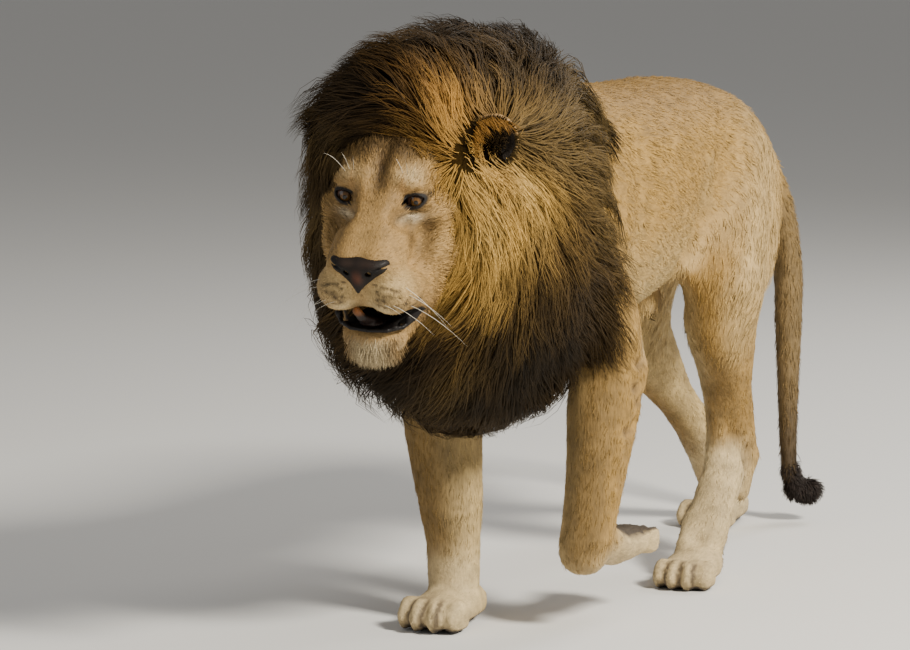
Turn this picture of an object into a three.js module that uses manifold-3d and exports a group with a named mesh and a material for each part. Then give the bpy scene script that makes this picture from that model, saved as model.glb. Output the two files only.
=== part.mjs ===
// A walking male lion at life size, in millimetres: +Z up, head towards -Y, the lion's left at +X.
// Flesh is built from lofted forms strung along named joints, the parts meet at thin gaps, and the
// origin is on the floor under the middle of the whole animal.
import * as THREE from "three";
import { mergeVertices } from "three/addons/utils/BufferGeometryUtils.js";
import { LoftGeometry } from "three/addons/geometries/LoftGeometry.js";
import Module from "manifold-3d";

const wasm = await Module();
wasm.setup();
const v = (x, y, z) => new THREE.Vector3(x, y, z);

// ---- Driving sizes ---------------------------------------------------------------------------

const GAP = 0.4; // clearance between neighbouring parts
const BACK = 1046; // height of the back above the floor
const WITHERS = 1062;
const BELLY = 566; // height of the underside behind the elbows
const CHEST_HALF = 192; // half the width of the rib cage
const LOIN_HALF = 158;
const RUMP_HALF = 158;
const CREST = 1190; // top of the mane
const MANE_HALF = 238; // half the width of the mane at the neck
const MANE_HEM = 384; // lowest reach of the chest mane
const EYE_APART = 132;
const EYE_RADIUS = 19;
const MID_EYE = v(2, -950, 877);
const HEAD_YAW = 12; // degrees that the face turns to the lion's left
const HEAD_PITCH = 13; // degrees nose down
const HEAD_ROLL = 3; // degrees left side down

// Joints of the limbs, from the body to the toes.
const FORE_RIGHT = [v(-66, -300, 975), v(-128, -485, 770), v(-168, -440, 535), v(-113, -468, 152), v(-106, -480, 60)];
const FORE_LEFT = [v(66, -290, 975), v(128, -470, 775), v(160, -330, 535), v(157, -428, 182), v(152, -300, 138)];
const HIND_LEFT = [v(88, 440, 850), v(152, 210, 575), v(120, 375, 262), v(140, 150, 55)];
const HIND_RIGHT = [v(-88, 430, 850), v(-136, 360, 505), v(-104, 648, 240), v(-94, 800, 62)];

// Muscle along each leg: bone, share along it, then half the width and the reach to front and back.
const FORE_FLESH = [
  [0, 0.0, 34, 74, 80],
  [0, 0.4, 56, 96, 100],
  [0, 0.8, 76, 100, 100],
  [1, 0.3, 83, 96, 106],
  [1, 0.65, 83, 95, 102],
  [2, 0.0, 82, 98, 84],
  [2, 0.25, 78, 90, 86],
  [2, 0.5, 67, 72, 82],
  [2, 0.75, 58, 58, 74],
  [3, 0.0, 56, 54, 60],
  [3, 0.8, 56, 42, 42],
];
const HIND_FLESH = [
  [0, 0.0, 82, 168, 202],
  [0, 0.45, 96, 156, 196],
  [0, 0.85, 86, 112, 140],
  [1, 0.15, 72, 90, 102],
  [1, 0.5, 54, 62, 66],
  [1, 0.82, 38, 44, 46],
  [2, 0.0, 42, 42, 46],
  [2, 0.4, 40, 36, 38],
  [2, 0.9, 48, 34, 34],
];
const FORE_PAW = { length: 184, half: 70, high: 80 };
const HIND_PAW = { length: 178, half: 64, high: 72 };
const FOLDED_PAW = { length: 152, half: 58, high: 72 };

// ---- Turning forms into solids and back --------------------------------------------------------

function solid(geometry) {
  const bare = new THREE.BufferGeometry().copy(geometry);
  bare.deleteAttribute("normal");
  bare.deleteAttribute("uv");
  const merged = mergeVertices(bare, 1e-3);
  return new wasm.Manifold(
    new wasm.Mesh({
      numProp: 3,
      vertProperties: merged.attributes.position.array,
      triVerts: new Uint32Array(merged.index.array),
    }),
  );
}

function geometryOf(made) {
  const mesh = made.getMesh();
  const geometry = new THREE.BufferGeometry();
  geometry.setAttribute("position", new THREE.BufferAttribute(mesh.vertProperties, 3));
  geometry.setIndex(new THREE.BufferAttribute(mesh.triVerts, 1));
  geometry.computeVertexNormals();
  return geometry;
}

const join = (solids) => solids.reduce((a, b) => a.add(b));
const cut = (body, cutters) => cutters.reduce((a, b) => a.subtract(b), body);
const largest = (made) => made.decompose().sort((a, b) => b.volume() - a.volume())[0];
const both = (make) => join([make(1), make(-1)]);
const matrixOf = (at, turn) => {
  const euler = new THREE.Euler(...turn.map(THREE.MathUtils.degToRad), "ZYX");
  return new THREE.Matrix4().makeRotationFromEuler(euler).setPosition(at);
};
const placed = (made, matrix) => solid(geometryOf(made).applyMatrix4(matrix));

// Everything on the far side of a plane through a point, looking along a direction.
function beyond(point, facing) {
  const slab = new THREE.BoxGeometry(4000, 4000, 4000).translate(0, 0, 2000);
  const spin = new THREE.Quaternion().setFromUnitVectors(v(0, 0, 1), facing.clone().normalize());
  return solid(slab.applyMatrix4(new THREE.Matrix4().compose(point, spin, v(1, 1, 1))));
}

// ---- The soft forms ------------------------------------------------------------------------------
// A station is [x, y, z, half, fore, aft, lean]: a centre, half the width, the reach to the front or
// top and to the back or underside. A smooth curve joins the stations and both ends are domed. Rings
// stand square to the path, or upright and leaning forward by their own angle.

function form(stations, { rings = 12, sides = 14, grow = 0, dome = 0.6, upright = false } = {}) {
  const rows = stations.map((s) => [...s.slice(0, 6), s[6] ?? 0]);
  const places = rows.map(([x, y, z]) => v(x, y, z));
  const along = [0];
  places.slice(1).forEach((p, i) => along.push(along[i] + p.distanceTo(places[i])));
  const spline = new THREE.CubicInterpolant(along, rows.flat(), 7, new Float32Array(7));
  const total = along.at(-1);
  const sample = (s) => Array.from(spline.evaluate(THREE.MathUtils.clamp(s, 0, total)));

  function ring(s, shrink, push) {
    const [x, y, z, half, fore, aft, lean] = sample(s);
    const [before, after] = [sample(s - total * 0.01), sample(s + total * 0.01)];
    const ahead = v(...after).sub(v(...before)).normalize();
    if (upright) ahead.set(0, -1, 0).applyAxisAngle(v(1, 0, 0), THREE.MathUtils.degToRad(lean));
    const side = v(1, 0, 0).addScaledVector(ahead, -ahead.x).normalize();
    const up = ahead.clone().cross(side);
    const middle = v(x, y, z).addScaledVector(ahead, push * (half + grow));
    return Array.from({ length: sides }, (_, i) => {
      const turn = (2 * Math.PI * (i + 0.5)) / sides;
      const reach = (Math.sin(turn) > 0 ? fore : aft) + grow;
      return middle
        .clone()
        .addScaledVector(side, Math.cos(turn) * (half + grow) * shrink)
        .addScaledVector(up, Math.sin(turn) * reach * shrink);
    });
  }

  const sections = [
    ring(0, 0.62, -dome),
    ring(0, 0.88, -dome * 0.6),
    ...Array.from({ length: rings }, (_, i) => ring((total * i) / (rings - 1), 1, 0)),
    ring(total, 0.88, dome * 0.6),
    ring(total, 0.62, dome),
  ];
  return solid(new LoftGeometry(sections, { capStart: true, capEnd: true }));
}

function ball([x, y, z], [a, b, c], { turn = [0, 0, 0], grow = 0, fine = 10 } = {}) {
  const geometry = new THREE.SphereGeometry(1, fine, Math.ceil(fine * 0.6));
  geometry.scale(a + grow, b + grow, c + grow).applyMatrix4(matrixOf(v(x, y, z), turn));
  return solid(geometry);
}

// An upright station given by its top and underside.
const band = (y, half, top, under, { x = 0, lean = 0 } = {}) => {
  const reach = (top - under) / 2;
  return [x, y, top - reach, half, reach, reach, lean];
};

// ---- Trunk and neck ------------------------------------------------------------------------------

function trunk(grow = 0) {
  const stations = [
    band(668, 62, 900, 770),
    band(600, 112, 954, 690),
    band(520, 145, 994, 650),
    band(420, RUMP_HALF, 1020, 634),
    band(290, LOIN_HALF, 1038, 626),
    band(150, LOIN_HALF + 14, BACK, 604),
    band(0, CHEST_HALF - 4, BACK - 4, BELLY + 4),
    band(-150, CHEST_HALF, BACK, BELLY - 20),
    band(-280, 178, WITHERS, BELLY - 28),
    band(-400, 152, WITHERS - 22, BELLY - 10),
    band(-510, 112, 985, 620),
  ];
  const barrel = form(stations, { rings: 12, sides: 16, grow, upright: true });
  const sheath = ball([0, 178, 574], [28, 68, 52], { grow, fine: 6 });
  const testes = both((s) => ball([s * 20, 584, 676], [29, 38, 46], { grow, fine: 6 }));
  return join([barrel, sheath, testes]);
}

function neck(grow = 0) {
  const stations = [band(-380, 140, 1030, 690), band(-560, 135, 1030, 700), band(-770, 112, 1000, 740)];
  return form(stations, { rings: 3, sides: 8, grow, upright: true });
}

const parts = { trunk: trunk() };

// ---- Legs ---------------------------------------------------------------------------------------

// A paw points along -Y with its sole at height 0: four toes in front of the pad.
function paw({ length, half, high }, grow) {
  const toe = (place) =>
    ball(
      [place * half, -length * (0.62 - 0.16 * Math.abs(place)), high * 0.36],
      [half * 0.29, length * 0.26, high * 0.46],
      { grow, fine: 5 },
    );
  const pad = [
    [0, length * 0.26, high * 0.5, half * 0.72, high * 0.48, high * 0.56],
    [0, 0, high * 0.5, half * 0.92, high * 0.52, high * 0.56],
    [0, -length * 0.42, high * 0.44, half * 0.9, high * 0.42, high * 0.5],
  ];
  return join([form(pad, { rings: 3, sides: 8, grow, dome: 0.5 }), ...[-0.74, -0.26, 0.26, 0.74].map(toe)]);
}

// Each leg: its joints, flesh and paw, where the paw is set and how far it is turned.
const LEGS = {
  foreleg_right: [FORE_RIGHT, FORE_FLESH, FORE_PAW, v(-103, -484, 0), [0, 0, 2]],
  foreleg_left: [FORE_LEFT, FORE_FLESH, FOLDED_PAW, v(150, -286, 177), [177, 0, 0]],
  hindleg_left: [HIND_LEFT, HIND_FLESH, HIND_PAW, v(143, 122, 0), [0, 0, 8]],
  hindleg_right: [HIND_RIGHT, HIND_FLESH, HIND_PAW, v(-92, 788, 0), [0, 0, 0]],
};

function leg([joints, flesh, foot, footAt, footTurn], grow = 0) {
  const stations = flesh.map(([bone, share, ...sizes]) => [
    ...joints[bone].clone().lerp(joints[bone + 1], share).toArray(),
    ...sizes,
  ]);
  const shaft = form(stations, { rings: 10, sides: 12, grow });
  const above = beyond(v(0, 0, 0), v(0, 0, 1));
  return shaft.add(placed(paw(foot, grow), matrixOf(footAt, footTurn))).intersect(above);
}

// A leg is parted where a person names it: upper leg, lower leg and foot.
for (const [name, made] of Object.entries(LEGS)) {
  const [joints] = made;
  const [knee, ankle] = name.startsWith("fore") ? [2, 3] : [1, 2];
  const foot = name.replace("foreleg", "forepaw").replace("hindleg", "hindfoot");
  const past = (point, from, to, gap) => {
    const facing = joints[to].clone().sub(joints[from]).normalize();
    return beyond(point.clone().addScaledVector(facing, gap), facing);
  };
  const below = (gap) => past(joints[knee], knee - 1, knee + 1, gap);
  const wrist = joints[ankle].clone().lerp(joints[ankle + 1], 0.12);
  const atFoot = (gap) => past(wrist, ankle - 1, ankle + 1, gap);
  const whole = largest(cut(leg(made), [trunk(GAP), neck(GAP)]));
  parts[name + "_upper"] = largest(whole.subtract(below(0)));
  parts[name + "_lower"] = largest(whole.intersect(below(GAP)).subtract(atFoot(0)));
  parts[foot] = largest(whole.intersect(below(GAP)).intersect(atFoot(GAP)));
}

// ---- Tail and its tuft ---------------------------------------------------------------------------

const TAIL = [
  [0, 560, 918, 44, 42, 42],
  [8, 634, 886, 42, 40, 40],
  [25, 698, 832, 40, 38, 38],
  [40, 744, 770, 37, 36, 36],
  [48, 782, 692, 35, 35, 35],
  [50, 815, 600, 34, 34, 34],
  [50, 822, 486, 32, 34, 34],
  [50, 825, 332, 25, 27, 27],
  [50, 829, 197, 20, 21, 21],
  [52, 836, 104, 17, 18, 18],
];
const TUFT = [
  [53, 838, 100, 20, 20, 20],
  [62, 850, 74, 25, 26, 26],
  [80, 866, 70, 33, 31, 31],
  [94, 874, 82, 26, 24, 24],
];
const tailForm = (grow) => form(TAIL, { rings: 11, sides: 8, grow });
parts.tail = largest(cut(tailForm(0), [trunk(GAP)]));
parts.tail_tuft = largest(cut(form(TUFT, { rings: 4, sides: 8 }), [tailForm(GAP)]));

// ---- Head: built about the middle of the eyes, facing -Y, then turned into place ------------------

const HEAD = matrixOf(MID_EYE, [HEAD_PITCH, HEAD_ROLL, HEAD_YAW]);

function skull(grow) {
  const stations = [
    band(185, 74, 80, -110),
    band(125, 104, 106, -140),
    band(70, 118, 112, -150),
    band(20, 112, 84, -140),
    band(-22, 88, 40, -134),
    band(-62, 74, 0, -136),
    band(-105, 66, -30, -140),
    band(-142, 56, -56, -142),
  ];
  return form(stations, { rings: 9, sides: 12, grow, dome: 0.5, upright: true });
}

function jaw(grow) {
  const stations = [
    band(120, 82, -100, -178),
    band(50, 78, -130, -206),
    band(-20, 68, -184, -254),
    band(-65, 62, -208, -282),
    band(-102, 50, -216, -286),
  ];
  return form(stations, { rings: 5, sides: 8, grow, dome: 0.5, upright: true });
}

function face(grow) {
  const lumps = (s) =>
    join([
      ball([s * 48, -110, -138], [47, 56, 48], { grow, fine: 7 }), // whisker pad
      ball([s * 86, 18, -42], [40, 56, 40], { grow, fine: 6 }), // cheekbone
      ball([s * 78, 62, -112], [48, 62, 78], { grow, fine: 6 }), // jaw muscle
      ball([s * 50, -2, 32], [38, 30, 22], { grow, fine: 6 }), // brow
      ball([s * 66, -40, -172], [28, 52, 36], { grow, fine: 6, turn: [-24, 0, 0] }), // lip corner
    ]);
  return join([skull(grow), jaw(grow), both(lumps)]);
}

const eye = (s, grow = 0) =>
  ball([(s * EYE_APART) / 2, -12, 0], [EYE_RADIUS, EYE_RADIUS, EYE_RADIUS], { grow, fine: 8 });

function nose(grow = 0) {
  const stations = [band(-140, 44, -66, -114), band(-160, 51, -70, -118), band(-173, 43, -76, -114)];
  return form(stations, { rings: 3, sides: 10, grow, dome: 0.12, upright: true });
}

function tongue() {
  const stations = [
    [0, -30, -197, 30, 9, 8],
    [0, -88, -197, 30, 9, 8],
    [0, -136, -186, 17, 7, 7],
  ];
  return form(stations, { rings: 3, sides: 8 });
}

// A rounded, cupped ear: a flattened shell hollowed from the front.
function ear(s, grow = 0) {
  const turn = [-6, 0, s * 30];
  const shell = ball([s * 156, 157, 66], [54, 26, 53], { turn, grow });
  return grow ? shell : shell.subtract(ball([s * 164, 136, 68], [43, 28, 43], { turn, fine: 7 }));
}

const headForm = (grow) => placed(face(grow), HEAD);
parts.head = placed(largest(cut(face(0), [both((s) => eye(s, GAP)), nose(GAP)])), HEAD);
parts.nose = placed(nose(), HEAD);
parts.tongue = placed(largest(cut(tongue(), [face(GAP)])), HEAD);
for (const [side, s] of [["left", 1], ["right", -1]]) {
  parts["eye_" + side] = placed(eye(s), HEAD);
  parts["ear_" + side] = placed(largest(cut(ear(s), [face(GAP)])), HEAD);
}

// ---- Mane ------------------------------------------------------------------------------------------

function maneForm() {
  const stations = [
    band(-190, 58, 1070, 970),
    band(-260, 108, 1094, 860),
    band(-340, 162, 1124, 660),
    band(-430, 206, 1158, 480, { lean: 1 }),
    band(-530, MANE_HALF, CREST - 12, MANE_HEM + 8, { lean: 3 }),
    band(-650, MANE_HALF + 6, CREST, MANE_HEM + 8, { x: -10, lean: 5 }),
    band(-750, MANE_HALF + 6, CREST - 12, MANE_HEM + 22, { x: -18, lean: 8 }),
    band(-826, MANE_HALF - 12, CREST - 40, MANE_HEM + 40, { x: -24, lean: 12 }),
    band(-872, 194, CREST - 86, MANE_HEM + 82, { x: -22, lean: 15 }),
  ];
  return form(stations, { rings: 9, sides: 16, dome: 0.16, upright: true });
}

// The mane parts around each ear and leaves it looking out.
const earNiche = (s) => ball([s * 184, 98, 72], [50, 80, 50], { turn: [0, 0, s * 24], fine: 6 });
const aroundEars = both((s) => ear(s, GAP).add(earNiche(s)));

parts.neck = largest(cut(neck(), [trunk(GAP), headForm(GAP)]));
parts.mane = largest(
  cut(maneForm(), [
    trunk(GAP),
    neck(GAP),
    headForm(GAP),
    placed(aroundEars, HEAD),
    ...Object.values(LEGS).map((made) => leg(made, GAP)),
  ]),
);

// ---- The animal --------------------------------------------------------------------------------------

const TAWNY = 0xb08a55;
const COLOURS = {
  head: 0xb79562,
  nose: 0x2a1d18,
  tongue: 0x9c5a3c,
  mane: 0x4a3420,
  tail_tuft: 0x1d1712,
  eye_left: 0xa5702a,
  eye_right: 0xa5702a,
};
const body = new THREE.Group();
for (const [name, made] of Object.entries(parts)) {
  const material = new THREE.MeshStandardMaterial({
    color: COLOURS[name] ?? TAWNY,
    roughness: name.startsWith("eye") ? 0.1 : 0.85,
    metalness: 0,
  });
  const mesh = new THREE.Mesh(geometryOf(made), material);
  mesh.name = name;
  body.add(mesh);
}
const reach = new THREE.Box3().setFromObject(body);
const middle = reach.getCenter(v(0, 0, 0));
body.position.set(-middle.x, -middle.y, -reach.min.z);

const lion = new THREE.Group();
lion.add(body);
export default lion;
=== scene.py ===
import math

import bpy
import numpy as np
import openvdb
from mathutils import Matrix, Vector


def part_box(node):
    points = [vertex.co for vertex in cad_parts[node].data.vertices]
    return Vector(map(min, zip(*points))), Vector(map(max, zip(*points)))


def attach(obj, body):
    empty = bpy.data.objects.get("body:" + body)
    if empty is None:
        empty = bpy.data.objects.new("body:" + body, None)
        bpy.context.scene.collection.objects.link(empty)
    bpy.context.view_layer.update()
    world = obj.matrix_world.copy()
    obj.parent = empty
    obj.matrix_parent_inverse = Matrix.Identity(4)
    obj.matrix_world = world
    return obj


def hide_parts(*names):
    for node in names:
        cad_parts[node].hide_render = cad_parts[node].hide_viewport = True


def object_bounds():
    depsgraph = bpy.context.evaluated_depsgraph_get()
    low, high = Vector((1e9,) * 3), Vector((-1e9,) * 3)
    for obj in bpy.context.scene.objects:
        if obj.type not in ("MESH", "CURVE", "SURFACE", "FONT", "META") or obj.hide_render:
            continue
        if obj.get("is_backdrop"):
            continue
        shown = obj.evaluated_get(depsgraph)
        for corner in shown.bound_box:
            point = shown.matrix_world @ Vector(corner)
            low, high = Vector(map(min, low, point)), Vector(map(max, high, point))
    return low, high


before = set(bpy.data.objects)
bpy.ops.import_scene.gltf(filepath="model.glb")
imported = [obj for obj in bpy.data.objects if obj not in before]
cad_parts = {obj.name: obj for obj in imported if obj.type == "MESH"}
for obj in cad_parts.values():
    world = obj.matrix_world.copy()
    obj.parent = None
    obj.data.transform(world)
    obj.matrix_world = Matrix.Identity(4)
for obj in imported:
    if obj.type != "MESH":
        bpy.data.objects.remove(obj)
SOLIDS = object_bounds()

# ---- Body: skin over trunk, neck, legs, paws and tail ------------------------------------------
# The hide of a lion is one skin drawn over its muscles. It is modelled like clay: the flesh forms
# are pressed together, the joins are rubbed smooth, and it is shaved back by the depth of its fur.

# a mount is set up from its glass eyes: the head has axes of its own, with the middle of the eyes
# at the origin, the nose towards -Y and the crown up, and the body is placed from them
EYE_SET_BACK = 0.012
HEAD_TURN = (
    Matrix.Rotation(math.radians(12), 3, "Z")
    @ Matrix.Rotation(math.radians(3), 3, "Y")
    @ Matrix.Rotation(math.radians(13), 3, "X")
)
EYES = [(low + high) / 2 for low, high in (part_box("eye_left"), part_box("eye_right"))]
HEAD_AT = (EYES[0] + EYES[1]) / 2 + HEAD_TURN @ Vector((0, EYE_SET_BACK, 0))
HOME = HEAD_AT - Vector((0.002, -0.950, 0.877))
home = np.array(HOME)


def at_home(*p):
    """A place on the animal, measured from the spot on the floor it stands over."""
    return np.array(p, float) + home


FAR = 9  # how many cells away an empty block says that the nearest form is
BAND = 8  # how many cells out from a surface distances are measured


class Clay:
    """A block that forms are pressed onto and carved from; its skin is where the field is zero."""

    ALL = (slice(None),) * 3

    def __init__(self, low, high, grain):
        self.low = np.array(low, float)
        self.grain = grain
        self.shape = tuple(int(math.ceil((b - a) / grain)) + 1 for a, b in zip(low, high))
        self.field = np.full(self.shape, FAR * grain, np.float32)

    def twin(self):
        """An empty block of the same size and place."""
        made = Clay(self.low, self.low, self.grain)
        made.shape = self.shape
        made.field = np.full(self.shape, FAR * self.grain, np.float32)
        return made

    def window(self, low, high):
        """The cells between two corners: their slices, and the places of the cells along x, y, z."""
        a = np.clip(np.floor((np.array(low) - self.low) / self.grain).astype(int), 0, None)
        b = np.minimum(np.ceil((np.array(high) - self.low) / self.grain).astype(int) + 1, self.shape)
        cut = tuple(slice(i, max(j, i)) for i, j in zip(a, b))
        axes = [self.low[k] + self.grain * np.arange(cut[k].start, cut[k].stop) for k in range(3)]
        x, y, z = (c.astype(np.float32) for c in axes)
        return cut, x[:, None, None], y[None, :, None], z[None, None, :]

    def press(self, cut, d, soft=0.0):
        """Adds a form, with its join filled out softly."""
        f = self.field[cut]
        if soft:
            h = np.maximum(soft - np.abs(f - d), 0)
            self.field[cut] = np.minimum(f, d) - h * h / (4 * soft)
        else:
            self.field[cut] = np.minimum(f, d)

    def carve(self, cut, d, soft=0.0):
        """Takes a form away."""
        f = self.field[cut]
        h = np.maximum(soft - np.abs(f + d), 0) if soft else 0
        self.field[cut] = np.maximum(f, -d) + (h * h / (4 * soft) if soft else 0)

    def egg(self, at, radii, turn=(0, 0, 0), soft=0.0, carve=False):
        """Presses on, or carves out, an egg with its own radii and turn."""
        rx, ry, rz = (Matrix.Rotation(math.radians(t), 3, a) for t, a in zip(turn, "XYZ"))
        spin = np.array(rz @ ry @ rx, np.float32)
        reach = np.sqrt((spin**2) @ np.array(radii, np.float32) ** 2) + soft + 2 * self.grain
        cut, x, y, z = self.window(np.array(at) - reach, np.array(at) + reach)
        p = [x - at[0], y - at[1], z - at[2]]
        k0 = k1 = 0
        for i in range(3):
            q = spin[0, i] * p[0] + spin[1, i] * p[1] + spin[2, i] * p[2]
            k0 = k0 + (q / radii[i]) ** 2
            k1 = k1 + (q / radii[i] ** 2) ** 2
        k0, k1 = np.sqrt(k0), np.sqrt(k1) + 1e-6
        (self.carve if carve else self.press)(cut, k0 * (k0 - 1) / k1, soft)

    def rod(self, a, b, ra, rb, soft=0.0, carve=False, flat=1.0):
        """Presses on, or carves out, a round-ended rod that tapers from ra to rb."""
        a, b = np.array(a, np.float32), np.array(b, np.float32)
        reach = max(ra, rb) + soft + 2 * self.grain
        cut, x, y, z = self.window(np.minimum(a, b) - reach, np.maximum(a, b) + reach)
        ab = b - a
        px, py, pz = x - a[0], y - a[1], z - a[2]
        t = np.clip((px * ab[0] + py * ab[1] + pz * ab[2]) / (ab @ ab), 0, 1)
        qx, qy, qz = px - t * ab[0], py - t * ab[1], (pz - t * ab[2]) / flat
        d = np.sqrt(qx**2 + qy**2 + qz**2)
        (self.carve if carve else self.press)(cut, d - (ra + (rb - ra) * t), soft)

    def measured(self, points, triangles, band):
        """The distance of each cell from a mesh, out to a band of so many cells."""
        return openvdb.FloatGrid.createLevelSetFromPolygons(
            ((points - self.low) / self.grain).astype(np.float32),
            triangles=triangles.astype(np.uint32),
            transform=openvdb.createLinearTransform(1.0),
            halfWidth=band,
        )

    def piece(self, points, triangles):
        """A mesh as a form to press on."""
        low, high = points.min(0) - BAND * self.grain, points.max(0) + BAND * self.grain
        cut, *_ = self.window(low, high)
        grid = self.measured(points, triangles, float(BAND))
        block = np.empty([s.stop - s.start for s in cut], np.float32)
        grid.copyToArray(block, ijk=tuple(s.start for s in cut))
        return cut, block * self.grain

    def rub(self, size):
        """Smooths the form all over, as far as a size."""
        f = self.field
        steps = max(1, int(math.ceil(2.2 * size / self.grain)))
        weights = np.exp(-0.5 * (np.arange(-steps, steps + 1) * self.grain / size) ** 2)
        weights = (weights / weights.sum()).astype(np.float32)
        for axis in range(3):
            margin = [(0, 0)] * 3
            margin[axis] = (steps, steps)
            padded = np.moveaxis(np.pad(f, margin, mode="edge"), axis, 0)
            f = sum(w * padded[i : i + f.shape[axis]] for i, w in enumerate(weights))
            f = np.moveaxis(f, 0, axis)
        self.field[:] = f

    def renew(self, band=float(BAND)):
        """Measures the distances afresh from the surface, so that old cuts inside are gone."""
        for end in (0, -1):
            self.field[end] = self.field[:, end] = self.field[:, :, end] = FAR * self.grain
        self.measured(*self.surface(), band).copyToArray(self.field)
        self.field *= self.grain

    def close_up(self, gap):
        """Fills slits and corners narrower than the gap."""
        before = self.field.copy()
        self.field -= gap
        self.renew()
        self.field = np.minimum(before, self.field + gap)

    def sample(self, p):
        """How far outside the form places lie, negative inside it."""
        q = (np.asarray(p) - self.low) / self.grain
        q = np.clip(q, 0, np.array(self.shape) - 1.001)
        i = q.astype(int)
        f = q - i
        out = 0
        for dx in (0, 1):
            for dy in (0, 1):
                for dz in (0, 1):
                    w = (f[:, 0] if dx else 1 - f[:, 0]) * (f[:, 1] if dy else 1 - f[:, 1])
                    w = w * (f[:, 2] if dz else 1 - f[:, 2])
                    out = out + w * self.field[i[:, 0] + dx, i[:, 1] + dy, i[:, 2] + dz]
        return out

    def slope(self, p):
        """Which way is straight out of the form at places."""
        e = self.grain * np.eye(3)
        g = np.stack([self.sample(p + e[k]) - self.sample(p - e[k]) for k in range(3)], 1)
        return g / (np.linalg.norm(g, axis=1, keepdims=True) + 1e-9)

    def surface(self, even=0.0):
        """The form's skin as points and triangles, with flat parts in larger faces."""
        grid = openvdb.FloatGrid(BAND * self.grain)
        grid.copyFromArray(np.ascontiguousarray(self.field))
        points, triangles, quads = grid.convertToPolygons(0.0, even)
        faces = np.concatenate([triangles, quads[:, [0, 1, 2]], quads[:, [0, 2, 3]]]).astype(np.int64)
        return points.astype(float) * self.grain + self.low, faces


def node_mesh(name):
    """Points and triangles of a solid, each point once."""
    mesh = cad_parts[name].data
    mesh.calc_loop_triangles()
    points = np.empty(len(mesh.vertices) * 3, np.float32)
    mesh.vertices.foreach_get("co", points)
    triangles = np.empty(len(mesh.loop_triangles) * 3, np.int32)
    mesh.loop_triangles.foreach_get("vertices", triangles)
    points, triangles = points.reshape(-1, 3), triangles.reshape(-1, 3)
    points, index = np.unique(np.round(points, 6), axis=0, return_inverse=True)
    return points, index.reshape(-1)[triangles]


BODY_GRAIN = 0.0048
FUR_DEPTH = 0.0042

body = Clay(at_home(-0.27, -0.80, -0.02), at_home(0.28, 0.95, 1.10), BODY_GRAIN)
for name in ("trunk", "neck"):
    body.press(*body.piece(*node_mesh(name)))
body.close_up(0.003)
for limb in ("foreleg_left", "foreleg_right", "hindleg_left", "hindleg_right"):
    foot = limb.replace("foreleg", "forepaw").replace("hindleg", "hindfoot")
    leg = body.twin()
    for name in (limb + "_upper", limb + "_lower", foot):
        leg.press(*leg.piece(*node_mesh(name)))
    leg.close_up(0.003)
    body.press(Clay.ALL, leg.field, 0.040)
body.press(*body.piece(*node_mesh("tail")), 0.03)
body.renew()
del leg

# the joins of the limbs are rubbed hard, the paws and tail only lightly
cut, x, y, z = body.window(body.low, body.low + 9)
fine = body.field.copy()
body.rub(0.0035)
light = body.field.copy()
body.field = fine
body.rub(0.0105)
gentle = np.clip((z - home[2] - 0.15) / 0.07, 0, 1) * np.clip((home[1] + 0.66 - y) / 0.06, 0, 1)
hand = np.clip((0.24 - z + home[2]) / 0.05, 0, 1) * (y < home[1] - 0.12)
gentle = gentle * (1 - hand)
body.field = body.field * gentle + light * (1 - gentle)
del fine, light, gentle, hand


def first_inside(steps, y, z, side):
    p = np.stack([steps * side, np.full(len(steps), y), np.full(len(steps), z)], 1) + home
    inside = body.sample(p) < 0
    return p[inside.argmax()]


def flank(y, z, side):
    """The outer face of the body at a height and length, found from outside."""
    return first_inside(np.linspace(0.27, 0.0, 240), y, z, side)


def inner_leg(y, z, side):
    """The inner face of a leg at a height and length, found from the midline."""
    return first_inside(np.linspace(0.02, 0.25, 200), y, z, side)


def groove(spots, side, radius, depth, soft, at=flank):
    """Presses a finger of a radius along places on the body's side."""
    spots = [at(y, z, side) for y, z in spots]
    out = [body.slope(p[None])[0] for p in spots]
    spots = [p + n * (radius - depth) for p, n in zip(spots, out)]
    for a, b in zip(spots, spots[1:]):
        body.rod(a, b, radius, radius, soft=soft, carve=True)


def swell(spots, side, radius, height, soft):
    """Lays a roll of clay under the surface, which stands out by a height."""
    spots = [flank(y, z, side) for y, z in spots]
    out = [body.slope(p[None])[0] for p in spots]
    spots = [p - n * (radius - height) for p, n in zip(spots, out)]
    for a, b in zip(spots, spots[1:]):
        body.rod(a, b, radius, radius, soft=soft)


# shoulder blades, upper arms, flank folds, hips and thighs, the same on both sides
for s in (1, -1):
    groove([(-0.20, 0.92), (-0.185, 0.78), (-0.20, 0.64)], s, 0.045, 0.009, 0.05)
    swell([(-0.34, 0.98), (-0.40, 0.82)], s, 0.030, 0.006, 0.05)
    groove([(0.235, 0.86), (0.185, 0.74), (0.150, 0.66)], s, 0.045, 0.011, 0.05)
    swell([(0.36, 0.975), (0.40, 0.965)], s, 0.022, 0.005, 0.05)
    for k in range(6):
        y0 = -0.13 + 0.052 * k
        groove([(y0, 0.88), (y0 + 0.035, 0.76), (y0 + 0.030, 0.68)], s, 0.018, 0.0022, 0.03)
# thighs: the front of the thigh stands clear of the hamstring; a hollow before the heel tendon
groove([(0.43, 0.84), (0.37, 0.68), (0.335, 0.52)], 1, 0.040, 0.006, 0.05)
groove([(0.47, 0.84), (0.44, 0.68), (0.42, 0.54)], -1, 0.040, 0.006, 0.05)
swell([(0.225, 0.60), (0.225, 0.57)], 1, 0.030, 0.005, 0.04)
swell([(0.375, 0.54), (0.375, 0.51)], -1, 0.030, 0.005, 0.04)
for s, hollow in (
    (1, [(0.325, 0.44), (0.352, 0.37), (0.372, 0.31)]),
    (-1, [(0.500, 0.400), (0.560, 0.345), (0.612, 0.298)]),
):
    groove(hollow, s, 0.016, 0.010, 0.016)
    groove(hollow, s, 0.016, 0.008, 0.016, inner_leg)
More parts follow.
